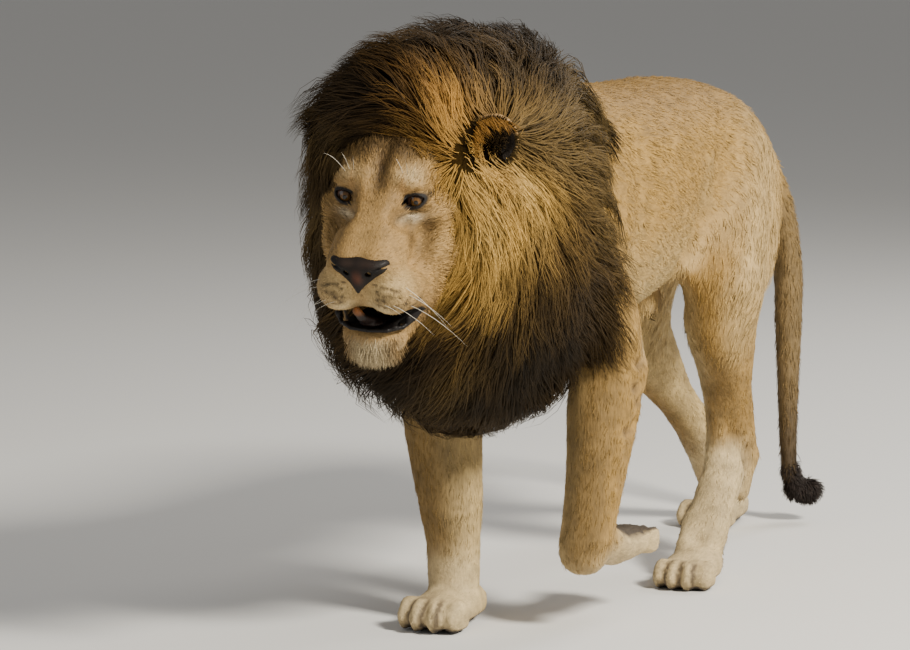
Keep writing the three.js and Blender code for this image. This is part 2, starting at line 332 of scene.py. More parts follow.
# forearms: a long muscle down the outer side, the elbow point behind, the wrist pad below
for s, dy in ((1, 0.0), (-1, -0.11)):
    muscle = [(-0.315 + dy, 0.54), (-0.345 + dy * 0.6, 0.40), (-0.385 + dy * 0.5, 0.30)]
    groove(muscle, s, 0.020, 0.0045, 0.03)
body.egg(at_home(0.160, -0.270, 0.565), (0.026, 0.024, 0.034), soft=0.03)
body.egg(at_home(-0.160, -0.372, 0.565), (0.026, 0.024, 0.034), soft=0.03)
body.egg(at_home(-0.113, -0.428, 0.150), (0.016, 0.014, 0.020), soft=0.02)

# the shin, the heels, the right forearm and the bent left wrist stand out round and full
body.rod(at_home(0.129, 0.225, 0.528), at_home(0.110, 0.336, 0.318), 0.060, 0.029, soft=0.02)
body.egg(at_home(0.129, 0.384, 0.228), (0.018, 0.025, 0.056), (-14, 0, 0), soft=0.025)
body.egg(at_home(-0.104, 0.668, 0.222), (0.018, 0.022, 0.046), soft=0.025)
SHANK = [
    ((0.1120, 0.270, 0.400), 0.023),
    ((0.1050, 0.314, 0.250), 0.024),
    ((0.1090, 0.262, 0.165), 0.024),
    ((0.1020, 0.200, 0.104), 0.022),
    ((0.1120, 0.130, 0.070), 0.020),
]
HEEL_TENDON = [
    ((0.1530, 0.338, 0.370), 0.017),
    ((0.1450, 0.384, 0.225), 0.020),
    ((0.1420, 0.352, 0.150), 0.019),
]
for row in (SHANK, HEEL_TENDON):
    for (a, ra), (b, rb) in zip(row, row[1:]):
        body.rod(at_home(*a), at_home(*b), ra, rb, soft=0.018)
body.egg(at_home(0.156, 0.338, 0.222), (0.012, 0.012, 0.032), (-14, 0, 0), soft=0.012, carve=True)
body.rod(at_home(-0.157, -0.446, 0.458), at_home(-0.124, -0.462, 0.229), 0.081, 0.062, soft=0.02)
body.egg(at_home(0.150, -0.430, 0.150), (0.050, 0.046, 0.046), soft=0.02)
groove([(0.345, 0.40), (0.368, 0.335), (0.384, 0.290)], 1, 0.012, 0.008, 0.012)
# loose skin folds at the left elbow and down the forearm
for fold in (
    [(-0.375, 0.472), (-0.345, 0.460), (-0.312, 0.474)],
    [(-0.365, 0.518), (-0.335, 0.506), (-0.302, 0.522)],
    [(-0.395, 0.388), (-0.358, 0.378), (-0.325, 0.394)],
    [(-0.350, 0.436), (-0.325, 0.430), (-0.300, 0.442)],
):
    groove(fold, 1, 0.0090, 0.0072, 0.007)

# toes: grooves between them and a knuckle on each; a paw is given by the middle of its wrist or
# ankle on the floor, how far it is tipped and turned, its length, half width and height
GAPS = (-0.50, 0.0, 0.50)
KNUCKLES = (-0.74, -0.26, 0.26, 0.74)
PAWS = {
    "forepaw_right": ((-0.103, -0.484, 0.0), 0, 0, 0.184, 0.070, 0.080),
    "hindfoot_left": ((0.143, 0.122, 0.0), 0, 8, 0.178, 0.064, 0.072),
    "hindfoot_right": ((-0.092, 0.788, 0.0), 0, 0, 0.178, 0.064, 0.072),
    "forepaw_left": ((0.150, -0.286, 0.177), 177, 0, 0.152, 0.058, 0.072),
}
PAW_FRAMES = []
for at, tip, yaw, long, half, high in PAWS.values():
    spin = Matrix.Rotation(math.radians(yaw), 3, "Z") @ Matrix.Rotation(math.radians(tip), 3, "X")
    PAW_FRAMES.append((at_home(*at), np.array(spin), long, half, high))


def on_paw(paw, *q):
    """A place measured on a paw's own axes."""
    return paw[0] + paw[1] @ np.array(q)


for paw in PAW_FRAMES:
    long, half, high = paw[2:]
    for gap in GAPS:
        reach = 0.86 - 0.10 * abs(gap)
        behind = on_paw(paw, gap * half * 0.86, -long * 0.46, high * 0.96)
        above = on_paw(paw, gap * half, -long * reach, high * 0.55)
        below = on_paw(paw, gap * half, -long * (reach + 0.02), high * 0.10)
        body.rod(behind, above, 0.004, 0.005, soft=0.010, carve=True)
        body.rod(above, below, 0.005, 0.004, soft=0.010, carve=True)
    for toe in KNUCKLES:
        y0 = -long * (0.60 - 0.16 * abs(toe))
        knuckle = on_paw(paw, toe * half, y0, high * 0.60)
        body.egg(knuckle, (half * 0.22, long * 0.10, high * 0.17), soft=0.016)

# the coat is deepest on the back and flanks, short on the legs and tail, and thinnest at the soles
depth = np.clip((z - home[2] - 0.42) / 0.25, 0.3, 1) * np.clip((home[1] + 0.74 - y) / 0.08, 0.25, 1)
body.field += FUR_DEPTH * depth * np.clip((z - home[2]) / 0.09, 0, 1)
body_points, body_faces = body.surface(0.15)
FLOOR = home[2] + 0.0003
body_points[:, 2] = np.maximum(body_points[:, 2], FLOOR)

# ---- Head: muzzle, cheeks, brow, lids, lips, jaw and ears ---------------------------------------
# Short-haired skin over the skull and jaw, with fleshy whisker pads, lids that grip the eyes and
# cupped round ears. It is worked finer than the body and tucks into the neck under the mane.

HEAD_GRAIN = 0.0021
EYE_X = (EYES[0] - EYES[1]).length / 2
EYE_RADIUS = 0.019
LID_SLANT = math.radians(15)

head = Clay((-0.235, -0.215, -0.315), (0.235, 0.215, 0.15), HEAD_GRAIN)
head.egg((0, 0.085, -0.010), (0.112, 0.110, 0.110))
head.egg((0, 0.030, 0.020), (0.086, 0.075, 0.066), soft=0.03)
head.rod((0, 0.0, -0.010), (0, -0.118, -0.092), 0.050, 0.044, soft=0.02)
head.rod((0, -0.02, -0.070), (0, -0.105, -0.128), 0.060, 0.046, soft=0.02)
head.egg((0, 0.02, -0.085), (0.088, 0.085, 0.070), soft=0.03)
for s in (1, -1):
    # cheekbone, cheek, chewing muscle, brow
    head.egg((s * 0.084, 0.022, -0.036), (0.034, 0.050, 0.028), (0, 0, -s * 18), soft=0.024)
    head.egg((s * 0.080, 0.010, -0.096), (0.036, 0.048, 0.046), soft=0.024)
    head.egg((s * 0.078, 0.066, -0.112), (0.046, 0.060, 0.078), soft=0.03)
    head.egg((s * 0.050, -0.013, 0.035), (0.040, 0.027, 0.018), (0, s * 12, s * 10), soft=0.014)
    # broad flat-topped muzzle and whisker pad
    head.rod((s * 0.034, -0.026, -0.046), (s * 0.035, -0.122, -0.092), 0.037, 0.035, soft=0.02)
    head.rod((s * 0.018, -0.020, 0.010), (s * 0.025, -0.138, -0.082), 0.023, 0.024, soft=0.014)
    head.egg((s * 0.046, -0.108, -0.138), (0.045, 0.054, 0.045), (6, 0, s * 10), soft=0.010)
    head.egg((s * 0.062, -0.060, -0.152), (0.032, 0.052, 0.036), (-10, 0, s * 8), soft=0.020)
    head.egg((s * 0.066, -0.012, -0.160), (0.034, 0.052, 0.048), (-22, 0, 0), soft=0.025)
# lower jaw and chin
head.rod((0, 0.09, -0.150), (0, -0.030, -0.226), 0.060, 0.036, soft=0.02)
head.egg((0, -0.074, -0.250), (0.051, 0.042, 0.031), (-6, 0, 0), soft=0.020)
for s in (1, -1):
    head.rod((s * 0.062, 0.07, -0.160), (s * 0.033, -0.070, -0.240), 0.037, 0.024, soft=0.02)
# hollows beside the muzzle, at the temples, and down the middle of the forehead
for s in (1, -1):
    head.egg((s * 0.092, -0.052, -0.060), (0.017, 0.036, 0.036), (0, s * 10, s * 24), soft=0.026, carve=True)
    head.egg((s * 0.052, -0.070, -0.018), (0.016, 0.042, 0.016), (-38, 0, 0), soft=0.022, carve=True)
    head.egg((s * 0.118, 0.022, 0.038), (0.022, 0.045, 0.034), soft=0.03, carve=True)
head.rod((0, -0.048, 0.034), (0, 0.030, 0.108), 0.007, 0.010, soft=0.026, carve=True)
# the split between the whisker pads
head.rod((0, -0.174, -0.112), (0, -0.160, -0.190), 0.0035, 0.008, soft=0.008, carve=True)
# the mouth, open a little, and its corners
MOUTH_AT = (0, -0.098, -0.2005)
MOUTH_RADII = (0.058, 0.074, 0.0155)
LIP_CORNER = (0.042, -0.118, -0.199)
head.egg(MOUTH_AT, MOUTH_RADII, (2, 0, 0), soft=0.005, carve=True)
head.egg((0, -0.055, -0.200), (0.046, 0.075, 0.022), soft=0.004, carve=True)
for s in (1, -1):
    corner = (s * LIP_CORNER[0], *LIP_CORNER[1:])
    head.rod(corner, (s * 0.074, -0.046, -0.203), 0.0105, 0.0055, soft=0.006, carve=True)
    # the edge of the upper lip turns in tight
    lip = (s * 0.018, -0.150, -0.176), (s * 0.048, -0.132, -0.190)
    head.rod(*lip, 0.006, 0.006, soft=0.010, carve=True)

# ears: cupped shells
for s in (1, -1):
    ear = head.twin()
    ear.egg((s * 0.156, 0.157, 0.066), (0.052, 0.025, 0.051), (-6, 0, s * 30))
    ear.egg((s * 0.163, 0.135, 0.067), (0.045, 0.031, 0.044), (-6, 0, s * 30), soft=0.004, carve=True)
    head.press(Clay.ALL, ear.field, 0.014)
del ear
head.rub(0.0026)

# sockets, then lids drawn over the eyes as thin shells with a slanting almond opening
for s in (1, -1):
    at = np.array((s * EYE_X, -EYE_SET_BACK, 0.0))
    head.egg(at, (EYE_RADIUS + 0.0004,) * 3, carve=True, soft=0.002)
    cut, x, y, z = head.window(at - 0.036, at + 0.036)
    px, py, pz = x - at[0], y - at[1], z - at[2]
    away = np.sqrt(px**2 + py**2 + pz**2)
    across = s * px * math.cos(LID_SLANT) + pz * math.sin(LID_SLANT)
    rise = pz * math.cos(LID_SLANT) - s * px * math.sin(LID_SLANT) - 0.0026
    reach = np.where(across > 0, 0.0185, 0.0235)
    curve = 1 - np.abs(across / reach) ** 2.3
    almond = np.maximum(rise - 0.0098 * curve, -rise - 0.0088 * curve)
    shell = np.abs(away - (EYE_RADIUS + 0.0027)) - 0.0023
    lid = np.maximum(np.maximum(shell, -almond), py - 0.004)
    head.press(cut, lid.astype(np.float32), 0.005)
    # the opening stays clear, with a groove running down from its inner corner
    front = np.maximum(np.maximum(almond, py + 0.002), np.abs(away - EYE_RADIUS - 0.010) - 0.0105)
    head.carve(cut, front.astype(np.float32), 0.0015)
    inner = at + np.array((-s * 0.0235, -0.0165, -0.0085))
    head.rod(inner, inner + np.array((-s * 0.005, -0.013, -0.016)), 0.0034, 0.0018, soft=0.006, carve=True)
    # fold above the upper lid and a soft pouch below the lower one
    for a, b, soft in (
        ((-0.020, -0.022, 0.010), (0.004, -0.024, 0.019), 0.005),
        ((0.004, -0.024, 0.019), (0.024, -0.014, 0.014), 0.005),
        ((-0.014, -0.020, -0.021), (0.018, -0.013, -0.020), 0.006),
    ):
        a, b = (at + np.array((s * q[0], q[1], q[2])) for q in (a, b))
        head.rod(a, b, 0.0016, 0.0016, soft=soft, carve=True)
# a seat for the nose leather
head.egg((0, -0.171, -0.092), (0.050, 0.014, 0.024), soft=0.006, carve=True)

head_points, head_faces = head.surface(0.05)

# ---- Skin: one hide over body and head ----------------------------------------------------------
# Both clays are turned into mesh, thinned where the form is plain, coloured by the place on the
# animal (dark back, pale belly and inner legs, black lips and eye rims) and joined as one hide.

BODY_TRIANGLES = 118000
HEAD_TRIANGLES = 76000
TURN = np.array(HEAD_TURN)


def to_head(p):
    """Places given on the head's own axes."""
    return (np.asarray(p, float) - np.array(HEAD_AT)) @ TURN


def from_head(p):
    """Places on the head's own axes, given in the frame."""
    return np.asarray(p, float) @ TURN.T + np.array(HEAD_AT)


def make_object(name, points, faces):
    """A mesh of triangles as an object of the scene."""
    mesh = bpy.data.meshes.new(name)
    points = np.asarray(points, np.float32)
    faces = np.asarray(faces, np.int32)
    mesh.vertices.add(len(points))
    mesh.vertices.foreach_set("co", points.ravel())
    mesh.loops.add(faces.size)
    mesh.loops.foreach_set("vertex_index", faces.ravel())
    mesh.polygons.add(len(faces))
    mesh.polygons.foreach_set("loop_start", np.arange(0, faces.size, 3, dtype=np.int32))
    mesh.polygons.foreach_set("loop_total", np.full(len(faces), 3, np.int32))
    mesh.polygons.foreach_set("use_smooth", np.full(len(faces), True))
    mesh.update(calc_edges=True)
    mesh.validate()
    made = bpy.data.objects.new(name, mesh)
    bpy.context.scene.collection.objects.link(made)
    return made


def thin_out(made, wanted):
    """Takes triangles away where the form is plain, down to a number."""
    have = len(made.data.polygons)
    if have > wanted:
        thinner = made.modifiers.new("thin", "DECIMATE")
        thinner.ratio = wanted / have
        bpy.context.view_layer.objects.active = made
        bpy.ops.object.modifier_apply(modifier=thinner.name)
    return made


def read_points(made):
    """The points of an object and the normals there."""
    p = np.empty(len(made.data.vertices) * 3, np.float32)
    made.data.vertices.foreach_get("co", p)
    n = np.empty_like(p)
    made.data.vertices.foreach_get("normal", n)
    return p.reshape(-1, 3).astype(float), n.reshape(-1, 3).astype(float)


def paint(made, colours):
    """Colours the points of an object."""
    layer = made.data.attributes.new("hide", "FLOAT_COLOR", "POINT")
    rgba = np.ones((len(colours), 4), np.float32)
    rgba[:, :3] = colours
    layer.data.foreach_set("color", rgba.ravel())


def ramp(v, a, b):
    """0 up to a, 1 from b, and smooth between them."""
    t = np.clip((np.asarray(v, float) - a) / (b - a), 0, 1)
    return t * t * (3 - 2 * t)


def mix(a, b, t):
    """From colour a to colour b."""
    t = np.asarray(t, float)[..., None]
    return np.asarray(a, float) * (1 - t) + np.asarray(b, float) * t


def near(p, at, radii):
    """1 at a place, falling to 0 at its radii."""
    q = ((p - np.array(at)) / np.array(radii)) ** 2
    return np.exp(-1.6 * q.sum(-1))


# the limbs, spine and tail as bones: start, end and rough thickness of the flesh around each
BONES = {
    "back": (at_home(0, -0.42, 0.83), at_home(0, 0.56, 0.85), 0.20),
    "neck": (at_home(0, -0.86, 0.86), at_home(0, -0.42, 0.83), 0.17),
    "arm_r": (at_home(-0.110, -0.42, 0.86), at_home(-0.166, -0.435, 0.56), 0.09),
    "forearm_r": (at_home(-0.166, -0.435, 0.56), at_home(-0.113, -0.466, 0.152), 0.07),
    "hand_r": (at_home(-0.113, -0.456, 0.13), at_home(-0.104, -0.62, 0.03), 0.06),
    "arm_l": (at_home(0.110, -0.40, 0.86), at_home(0.160, -0.335, 0.56), 0.09),
    "forearm_l": (at_home(0.160, -0.335, 0.56), at_home(0.157, -0.425, 0.19), 0.07),
    "hand_l": (at_home(0.156, -0.40, 0.15), at_home(0.150, -0.17, 0.14), 0.06),
    "thigh_l": (at_home(0.095, 0.43, 0.86), at_home(0.150, 0.22, 0.59), 0.12),
    "shank_l": (at_home(0.150, 0.22, 0.58), at_home(0.120, 0.37, 0.27), 0.07),
    "foot_l": (at_home(0.120, 0.36, 0.26), at_home(0.140, 0.165, 0.06), 0.05),
    "toes_l": (at_home(0.140, 0.165, 0.06), at_home(0.148, -0.01, 0.03), 0.05),
    "thigh_r": (at_home(-0.090, 0.43, 0.85), at_home(-0.136, 0.37, 0.52), 0.12),
    "shank_r": (at_home(-0.136, 0.365, 0.50), at_home(-0.105, 0.645, 0.25), 0.07),
    "foot_r": (at_home(-0.104, 0.648, 0.24), at_home(-0.094, 0.80, 0.07), 0.05),
    "toes_r": (at_home(-0.094, 0.80, 0.05), at_home(-0.092, 0.64, 0.03), 0.05),
    "tail": (at_home(0.02, 0.64, 0.89), at_home(0.049, 0.80, 0.67), 0.04),
    "tail_low": (at_home(0.049, 0.80, 0.67), at_home(0.052, 0.836, 0.10), 0.03),
}
BONE_NAMES = list(BONES)


def bone_mix(p):
    """Which bone each point belongs to, each bone's share in it, and the lie of the hair there."""
    reach, lies = [], []
    for a, b, r in BONES.values():
        ab = b - a
        t = np.clip(((p - a) @ ab) / (ab @ ab), 0, 1)
        reach.append(np.linalg.norm(p - a - t[:, None] * ab, axis=1) / r)
        lies.append(ab / np.linalg.norm(ab))
    reach = np.stack(reach, 1)
    shares = 1 / (reach + 0.05) ** 5
    shares /= shares.sum(1, keepdims=True)
    return reach.argmin(1), shares, shares @ np.stack(lies)


TAWNY = (0.300, 0.180, 0.050)
DARK_BACK = (0.200, 0.115, 0.034)
PALE = (0.46, 0.335, 0.150)
CREAM = (0.60, 0.49, 0.31)
BLACK_SKIN = (0.010, 0.008, 0.007)
GREY_TAN = (0.140, 0.098, 0.048)


def hide_colour(points, normals):
    """The body's colours by their place on the animal."""
    p = points - home
    shares = bone_mix(points)[1]
    part = {name: shares[:, i] for i, name in enumerate(BONE_NAMES)}
    c = np.tile(np.array(TAWNY), (len(p), 1))
    torso = part["back"] + part["neck"]
    c = mix(c, DARK_BACK, torso * ramp(normals[:, 2], 0.20, 0.95) * 0.8)
    c = mix(c, (0.38, 0.245, 0.085), torso * near(p, (0, 0.16, 0.66), (0.5, 0.22, 0.12)) * 0.7)
    c = mix(c, PALE, torso * ramp(-normals[:, 2], -0.10, 0.75) * 0.85)
    # painted light: the sides of the thighs are painted paler
    thigh = part["thigh_l"] + part["thigh_r"]
    c = mix(c, (0.45, 0.315, 0.140), thigh * ramp(np.abs(normals[:, 0]), 0.2, 0.9) * 0.8)
    legs = sum(w for n, w in part.items() if n[-2:] in ("_l", "_r"))
    inner = ramp(-normals[:, 0] * np.sign(p[:, 0]), -0.10, 0.65)
    c = mix(c, PALE, legs * inner * ramp(-p[:, 2], -0.85, -0.5) * 0.85)
    low = sum(part[n] for n in ("foot_l", "foot_r", "hand_l", "hand_r", "toes_l", "toes_r"))
    c = mix(c, (0.54, 0.42, 0.235), low * 0.8)
    # painted shade down the fronts of the forearms and shanks
    shank = sum(part[n] for n in ("forearm_l", "forearm_r", "shank_l", "shank_r"))
    c = mix(c, (0.105, 0.068, 0.028), shank * ramp(-normals[:, 1], 0.2, 0.9) * 0.60)
    # painted shade in the hollows before the heel tendons, behind the wrists and at the hocks
    for spot, size in (
        ((0.125, 0.345, 0.36), (0.05, 0.03, 0.09)),
        ((-0.115, 0.560, 0.345), (0.05, 0.04, 0.07)),
        ((-0.110, 0.655, 0.215), (0.06, 0.03, 0.04)),
        ((0.156, 0.338, 0.222), (0.026, 0.016, 0.036)),
    ):
        c = mix(c, (0.075, 0.048, 0.024), near(p, spot, size) * 0.75)
    # the bare-rubbed elbow, pale, with painted shade in the creases of its folds
    c = mix(c, (0.55, 0.46, 0.33), near(p, (0.185, -0.275, 0.565), (0.04, 0.05, 0.06)) * 0.75)
    for spot, size in (
        ((0.22, -0.345, 0.462), (0.06, 0.035, 0.012)),
        ((0.22, -0.335, 0.508), (0.06, 0.035, 0.012)),
        ((0.22, -0.360, 0.380), (0.06, 0.040, 0.012)),
        ((0.22, -0.325, 0.432), (0.06, 0.030, 0.010)),
    ):
        c = mix(c, (0.105, 0.068, 0.036), near(p, spot, size) * 0.75)
    tail = part["tail"] + part["tail_low"]
    c = mix(c, GREY_TAN, tail * 0.8)
    c = mix(c, (0.046, 0.031, 0.017), part["tail_low"] * ramp(-p[:, 2], -0.42, -0.12) * 0.9)
    # painted shade between the toes, and black pads below
    for at, spin, long, half, high in PAW_FRAMES:
        q = (points - at) @ spin
        on_toes = (q[:, 1] > -long * 1.1) & (np.abs(q[:, 0]) < half * 1.2) & (q[:, 2] < high * 1.3)
        for gap in GAPS:
            across = np.abs(q[:, 0] - gap * half * np.clip(-q[:, 1] / long + 0.2, 0, 1))
            front = ramp(-q[:, 1], long * 0.42, long * 0.60) * ramp(q[:, 2], -0.002, 0.010)
            between = (1 - ramp(across, 0.0025, 0.0085)) * front * on_toes
            c = mix(c, (0.050, 0.032, 0.020), between * 0.85)
        near_paw = (np.abs(q[:, 0]) < half * 1.2) & (q[:, 1] > -long * 1.1) & (q[:, 1] < long * 0.5)
        below = near_paw & (q[:, 2] > -0.01) & (q[:, 2] < high * 0.35)
        c = mix(c, (0.030, 0.022, 0.018), below * ramp(-(normals @ spin)[:, 2], 0.45, 0.8) * 0.95)
    return np.clip(c, 0, 1)


def whisker_spots():
    """Where the whiskers grow on the left pad: four rows across it, four to six in each."""
    spots = []
    for row, (z0, n) in enumerate(((-0.116, 4), (-0.128, 5), (-0.140, 6), (-0.152, 5))):
        for k in range(n):
            x0 = 0.030 + 0.0125 * k + 0.004 * (row % 2)
            spots.append((x0, -0.159 + 0.95 * (x0 - 0.030) ** 1.15 * 1.2, z0 - 0.003 * k))
    return np.array(spots)


def face_colour(points, normals):
    """The head's colours, worked on the head's own axes."""
    q = to_head(points)
    a = np.stack([np.abs(q[:, 0]), q[:, 1], q[:, 2]], 1)
    c = np.tile(np.array((0.285, 0.172, 0.060)), (len(q), 1))
    # forehead dark towards the mane, its own darker fur with painted shade under the mane; a dark line down
    # its middle; painted shade beside the bridge and at the inner corners of the eyes
    c = mix(c, (0.046, 0.028, 0.012), near(a, (0.0, 0.03, 0.112), (0.13, 0.12, 0.058)))
    c = mix(c, (0.062, 0.038, 0.016), near(a, (0.050, 0.01, 0.088), (0.085, 0.08, 0.030)) * 0.9)
    c = mix(c, (0.050, 0.030, 0.014), near(a, (0.0, -0.02, 0.048), (0.014, 0.06, 0.054)) * 0.95)
    c = mix(c, (0.085, 0.050, 0.021), near(a, (0.034, -0.07, -0.034), (0.013, 0.045, 0.030)) * 0.65)
    c = mix(c, (0.13, 0.078, 0.036), near(a, (0.032, -0.03, 0.004), (0.017, 0.03, 0.030)) * 0.85)
    # pale brows with a rusty streak, pale below the eyes
    c = mix(c, (0.50, 0.365, 0.185), near(a, (0.052, -0.02, 0.044), (0.030, 0.03, 0.016)) * 0.95)
    c = mix(c, (0.42, 0.215, 0.065), near(a, (0.047, -0.02, 0.034), (0.006, 0.03, 0.018)) * 0.8)
    c = mix(c, (0.60, 0.49, 0.32), near(a, (0.060, -0.03, -0.030), (0.026, 0.03, 0.011)) * 0.95)
    # bridge, whisker pads, chin
    c = mix(c, (0.25, 0.155, 0.055), near(a, (0.0, -0.10, -0.045), (0.040, 0.07, 0.035)) * 0.8)
    # dark fur with painted shade in the hollows below the eyes, beside the muzzle
    c = mix(c, (0.055, 0.032, 0.014), near(a, (0.072, -0.050, -0.050), (0.017, 0.03, 0.038)) * 0.9)
    c = mix(c, (0.080, 0.048, 0.021), near(a, (0.092, -0.045, -0.062), (0.016, 0.03, 0.036)) * 0.85)
    c = mix(c, (0.50, 0.37, 0.175), near(a, (0.044, -0.13, -0.130), (0.050, 0.060, 0.044)) * 0.95)
    c = mix(c, (0.56, 0.43, 0.235), near(a, (0.030, -0.15, -0.165), (0.035, 0.03, 0.016)) * 0.8)
    c = mix(c, CREAM, near(a, (0.0, -0.08, -0.262), (0.055, 0.06, 0.026)) * 0.95)
    c = mix(c, (0.40, 0.255, 0.095), near(a, (0.090, 0.01, -0.085), (0.035, 0.05, 0.05)) * 0.7)
    c = mix(c, (0.24, 0.145, 0.062), near(a, (0.070, 0.0, -0.20), (0.05, 0.07, 0.04)) * 0.6)
    # more dark fur with painted shade below the eye
    c = mix(c, (0.060, 0.036, 0.016), near(a, (0.083, -0.035, -0.052), (0.016, 0.04, 0.040)) * 0.80)
    for spot in whisker_spots():
        d = np.linalg.norm((a - spot) * (1, 0.05, 1.7), axis=1)
        c = mix(c, (0.036, 0.022, 0.012), (1 - ramp(d, 0.0028, 0.0066)) * 0.92)
    # black rims round the eyes, and the tear line from the inner corner
    eye = a - (EYE_X, -EYE_SET_BACK, 0.0)
    away = np.linalg.norm(eye, axis=1)
    u = (eye[:, 0] * math.cos(LID_SLANT) + eye[:, 2] * math.sin(LID_SLANT)) + 0.002
    v = eye[:, 2] * math.cos(LID_SLANT) - eye[:, 0] * math.sin(LID_SLANT) - 0.0026
    rim = np.hypot(u / 0.0252, v / 0.0156)
    c = mix(c, BLACK_SKIN, (1 - ramp(rim, 0.92, 1.16)) * (1 - ramp(away, 0.030, 0.040)))
    run = np.array((-0.20, -0.55, -0.81))
    start = np.array((0.0425, -0.032, -0.010))
    tear = np.clip(((a - start) @ run) / 0.026, 0, 1)
    d = np.linalg.norm(a - start - tear[:, None] * 0.026 * run, axis=1)
    c = mix(c, (0.028, 0.017, 0.011), (1 - ramp(d, 0.0030, 0.0085)) * (1 - 0.6 * tear))
    # the split of the upper lip, the edges of the lips, the mouth inside
    split = (1 - ramp(a[:, 0], 0.0015, 0.0045)) * near(a[:, 1:], (-0.170, -0.140), (0.03, 0.035))
    c = mix(c, BLACK_SKIN, split * 0.95)
    centre, radii = np.array(MOUTH_AT), np.array(MOUTH_RADII)
    lip = np.linalg.norm((a - centre) / (radii + (0.006, 0.012, 0.0065)), axis=1)
    c = mix(c, BLACK_SKIN, 1 - ramp(lip, 0.98, 1.10))
    inside = np.linalg.norm((a - centre) / (radii + (0.002, 0.0, 0.003)), axis=1)
    c = mix(c, (0.075, 0.022, 0.018), (1 - ramp(inside, 0.9, 1.02)) * (a[:, 1] > -0.15))
    # all that lies between the lips is dark: black lip skin, and painted shade inside the open mouth
    out, up = [0, 0.034, 0.058, 0.071, 0.077], [-0.2185, -0.219, -0.217, -0.2095, -0.200]
    above_lip = ramp(a[:, 2] - np.interp(a[:, 0], out, up), -0.004, 0.0) * ramp(-a[:, 2], 0.182, 0.188)
    c = mix(c, BLACK_SKIN, above_lip * (a[:, 0] < 0.085) * (a[:, 1] > -0.142) * (a[:, 1] < 0))
    corner = np.clip(((a - LIP_CORNER) @ (0.404, 0.909, -0.05)) / 0.079, 0, 1)
    d = np.linalg.norm(a - LIP_CORNER - corner[:, None] * np.array((0.032, 0.072, -0.004)), axis=1)
    c = mix(c, BLACK_SKIN, 1 - ramp(d, 0.0125, 0.0165))
    # ears: painted shade inside the cup, golden round the rim
    ear = near(a, (0.158, 0.150, 0.067), (0.062, 0.05, 0.066))
    facing = -normals @ TURN[:, 1]
    c = mix(c, (0.010, 0.0065, 0.004), ramp(ear, 0.25, 0.45) * ramp(facing, -0.1, 0.4))
    c = mix(c, (0.32, 0.19, 0.075), ramp(ear, 0.1, 0.25) * (1 - ramp(np.abs(facing), 0.2, 0.7)) * 0.8)
    return np.clip(c, 0, 1)


bpy.ops.object.select_all(action="DESELECT")
skin_body = thin_out(make_object("skin", body_points, body_faces), BODY_TRIANGLES)
skin_head = thin_out(make_object("skin_head", from_head(head_points), head_faces), HEAD_TRIANGLES)
paint(skin_body, hide_colour(*read_points(skin_body)))
paint(skin_head, face_colour(*read_points(skin_head)))
for o in (skin_body, skin_head):
    layer = o.data.attributes.new("upright", "FLOAT", "POINT")
    p, _ = read_points(o)
    lie = bone_mix(p)[2]
    layer.data.foreach_set("value", np.clip(lie[:, 2] ** 2 * 1.6, 0, 1).astype(np.float32))


def painted_material(name, rough, specular, coat=0.0, coat_rough=0.03):
    """A finish in the painted colour: its nodes and links, its surface, its place and its colour."""
    made = bpy.data.materials.new(name)
    made.use_nodes = True
    nodes, links = made.node_tree.nodes, made.node_tree.links
    surface = nodes["Principled BSDF"]
    surface.inputs["Roughness"].default_value = rough
    surface.inputs["Specular IOR Level"].default_value = specular
    surface.inputs["Coat Weight"].default_value = coat
    surface.inputs["Coat Roughness"].default_value = coat_rough
    where = nodes.new("ShaderNodeTexCoord")
    tint = nodes.new("ShaderNodeAttribute")
    tint.attribute_name = "hide"
    return made, nodes, links, surface, where.outputs["Object"], tint.outputs["Color"]


def shaded(nodes, links, colour, value, low, high, least, most):
    """The colour made darker or lighter as a value runs from low to high."""
    span = nodes.new("ShaderNodeMapRange")
    span.inputs["From Min"].default_value = low
    span.inputs["From Max"].default_value = high
    span.inputs["To Min"].default_value = least
    span.inputs["To Max"].default_value = most
    links.new(value, span.inputs["Value"])
    shade = nodes.new("ShaderNodeVectorMath")
    shade.operation = "SCALE"
    links.new(colour, shade.inputs[0])
    links.new(span.outputs["Result"], shade.inputs["Scale"])
    return shade.outputs["Vector"]


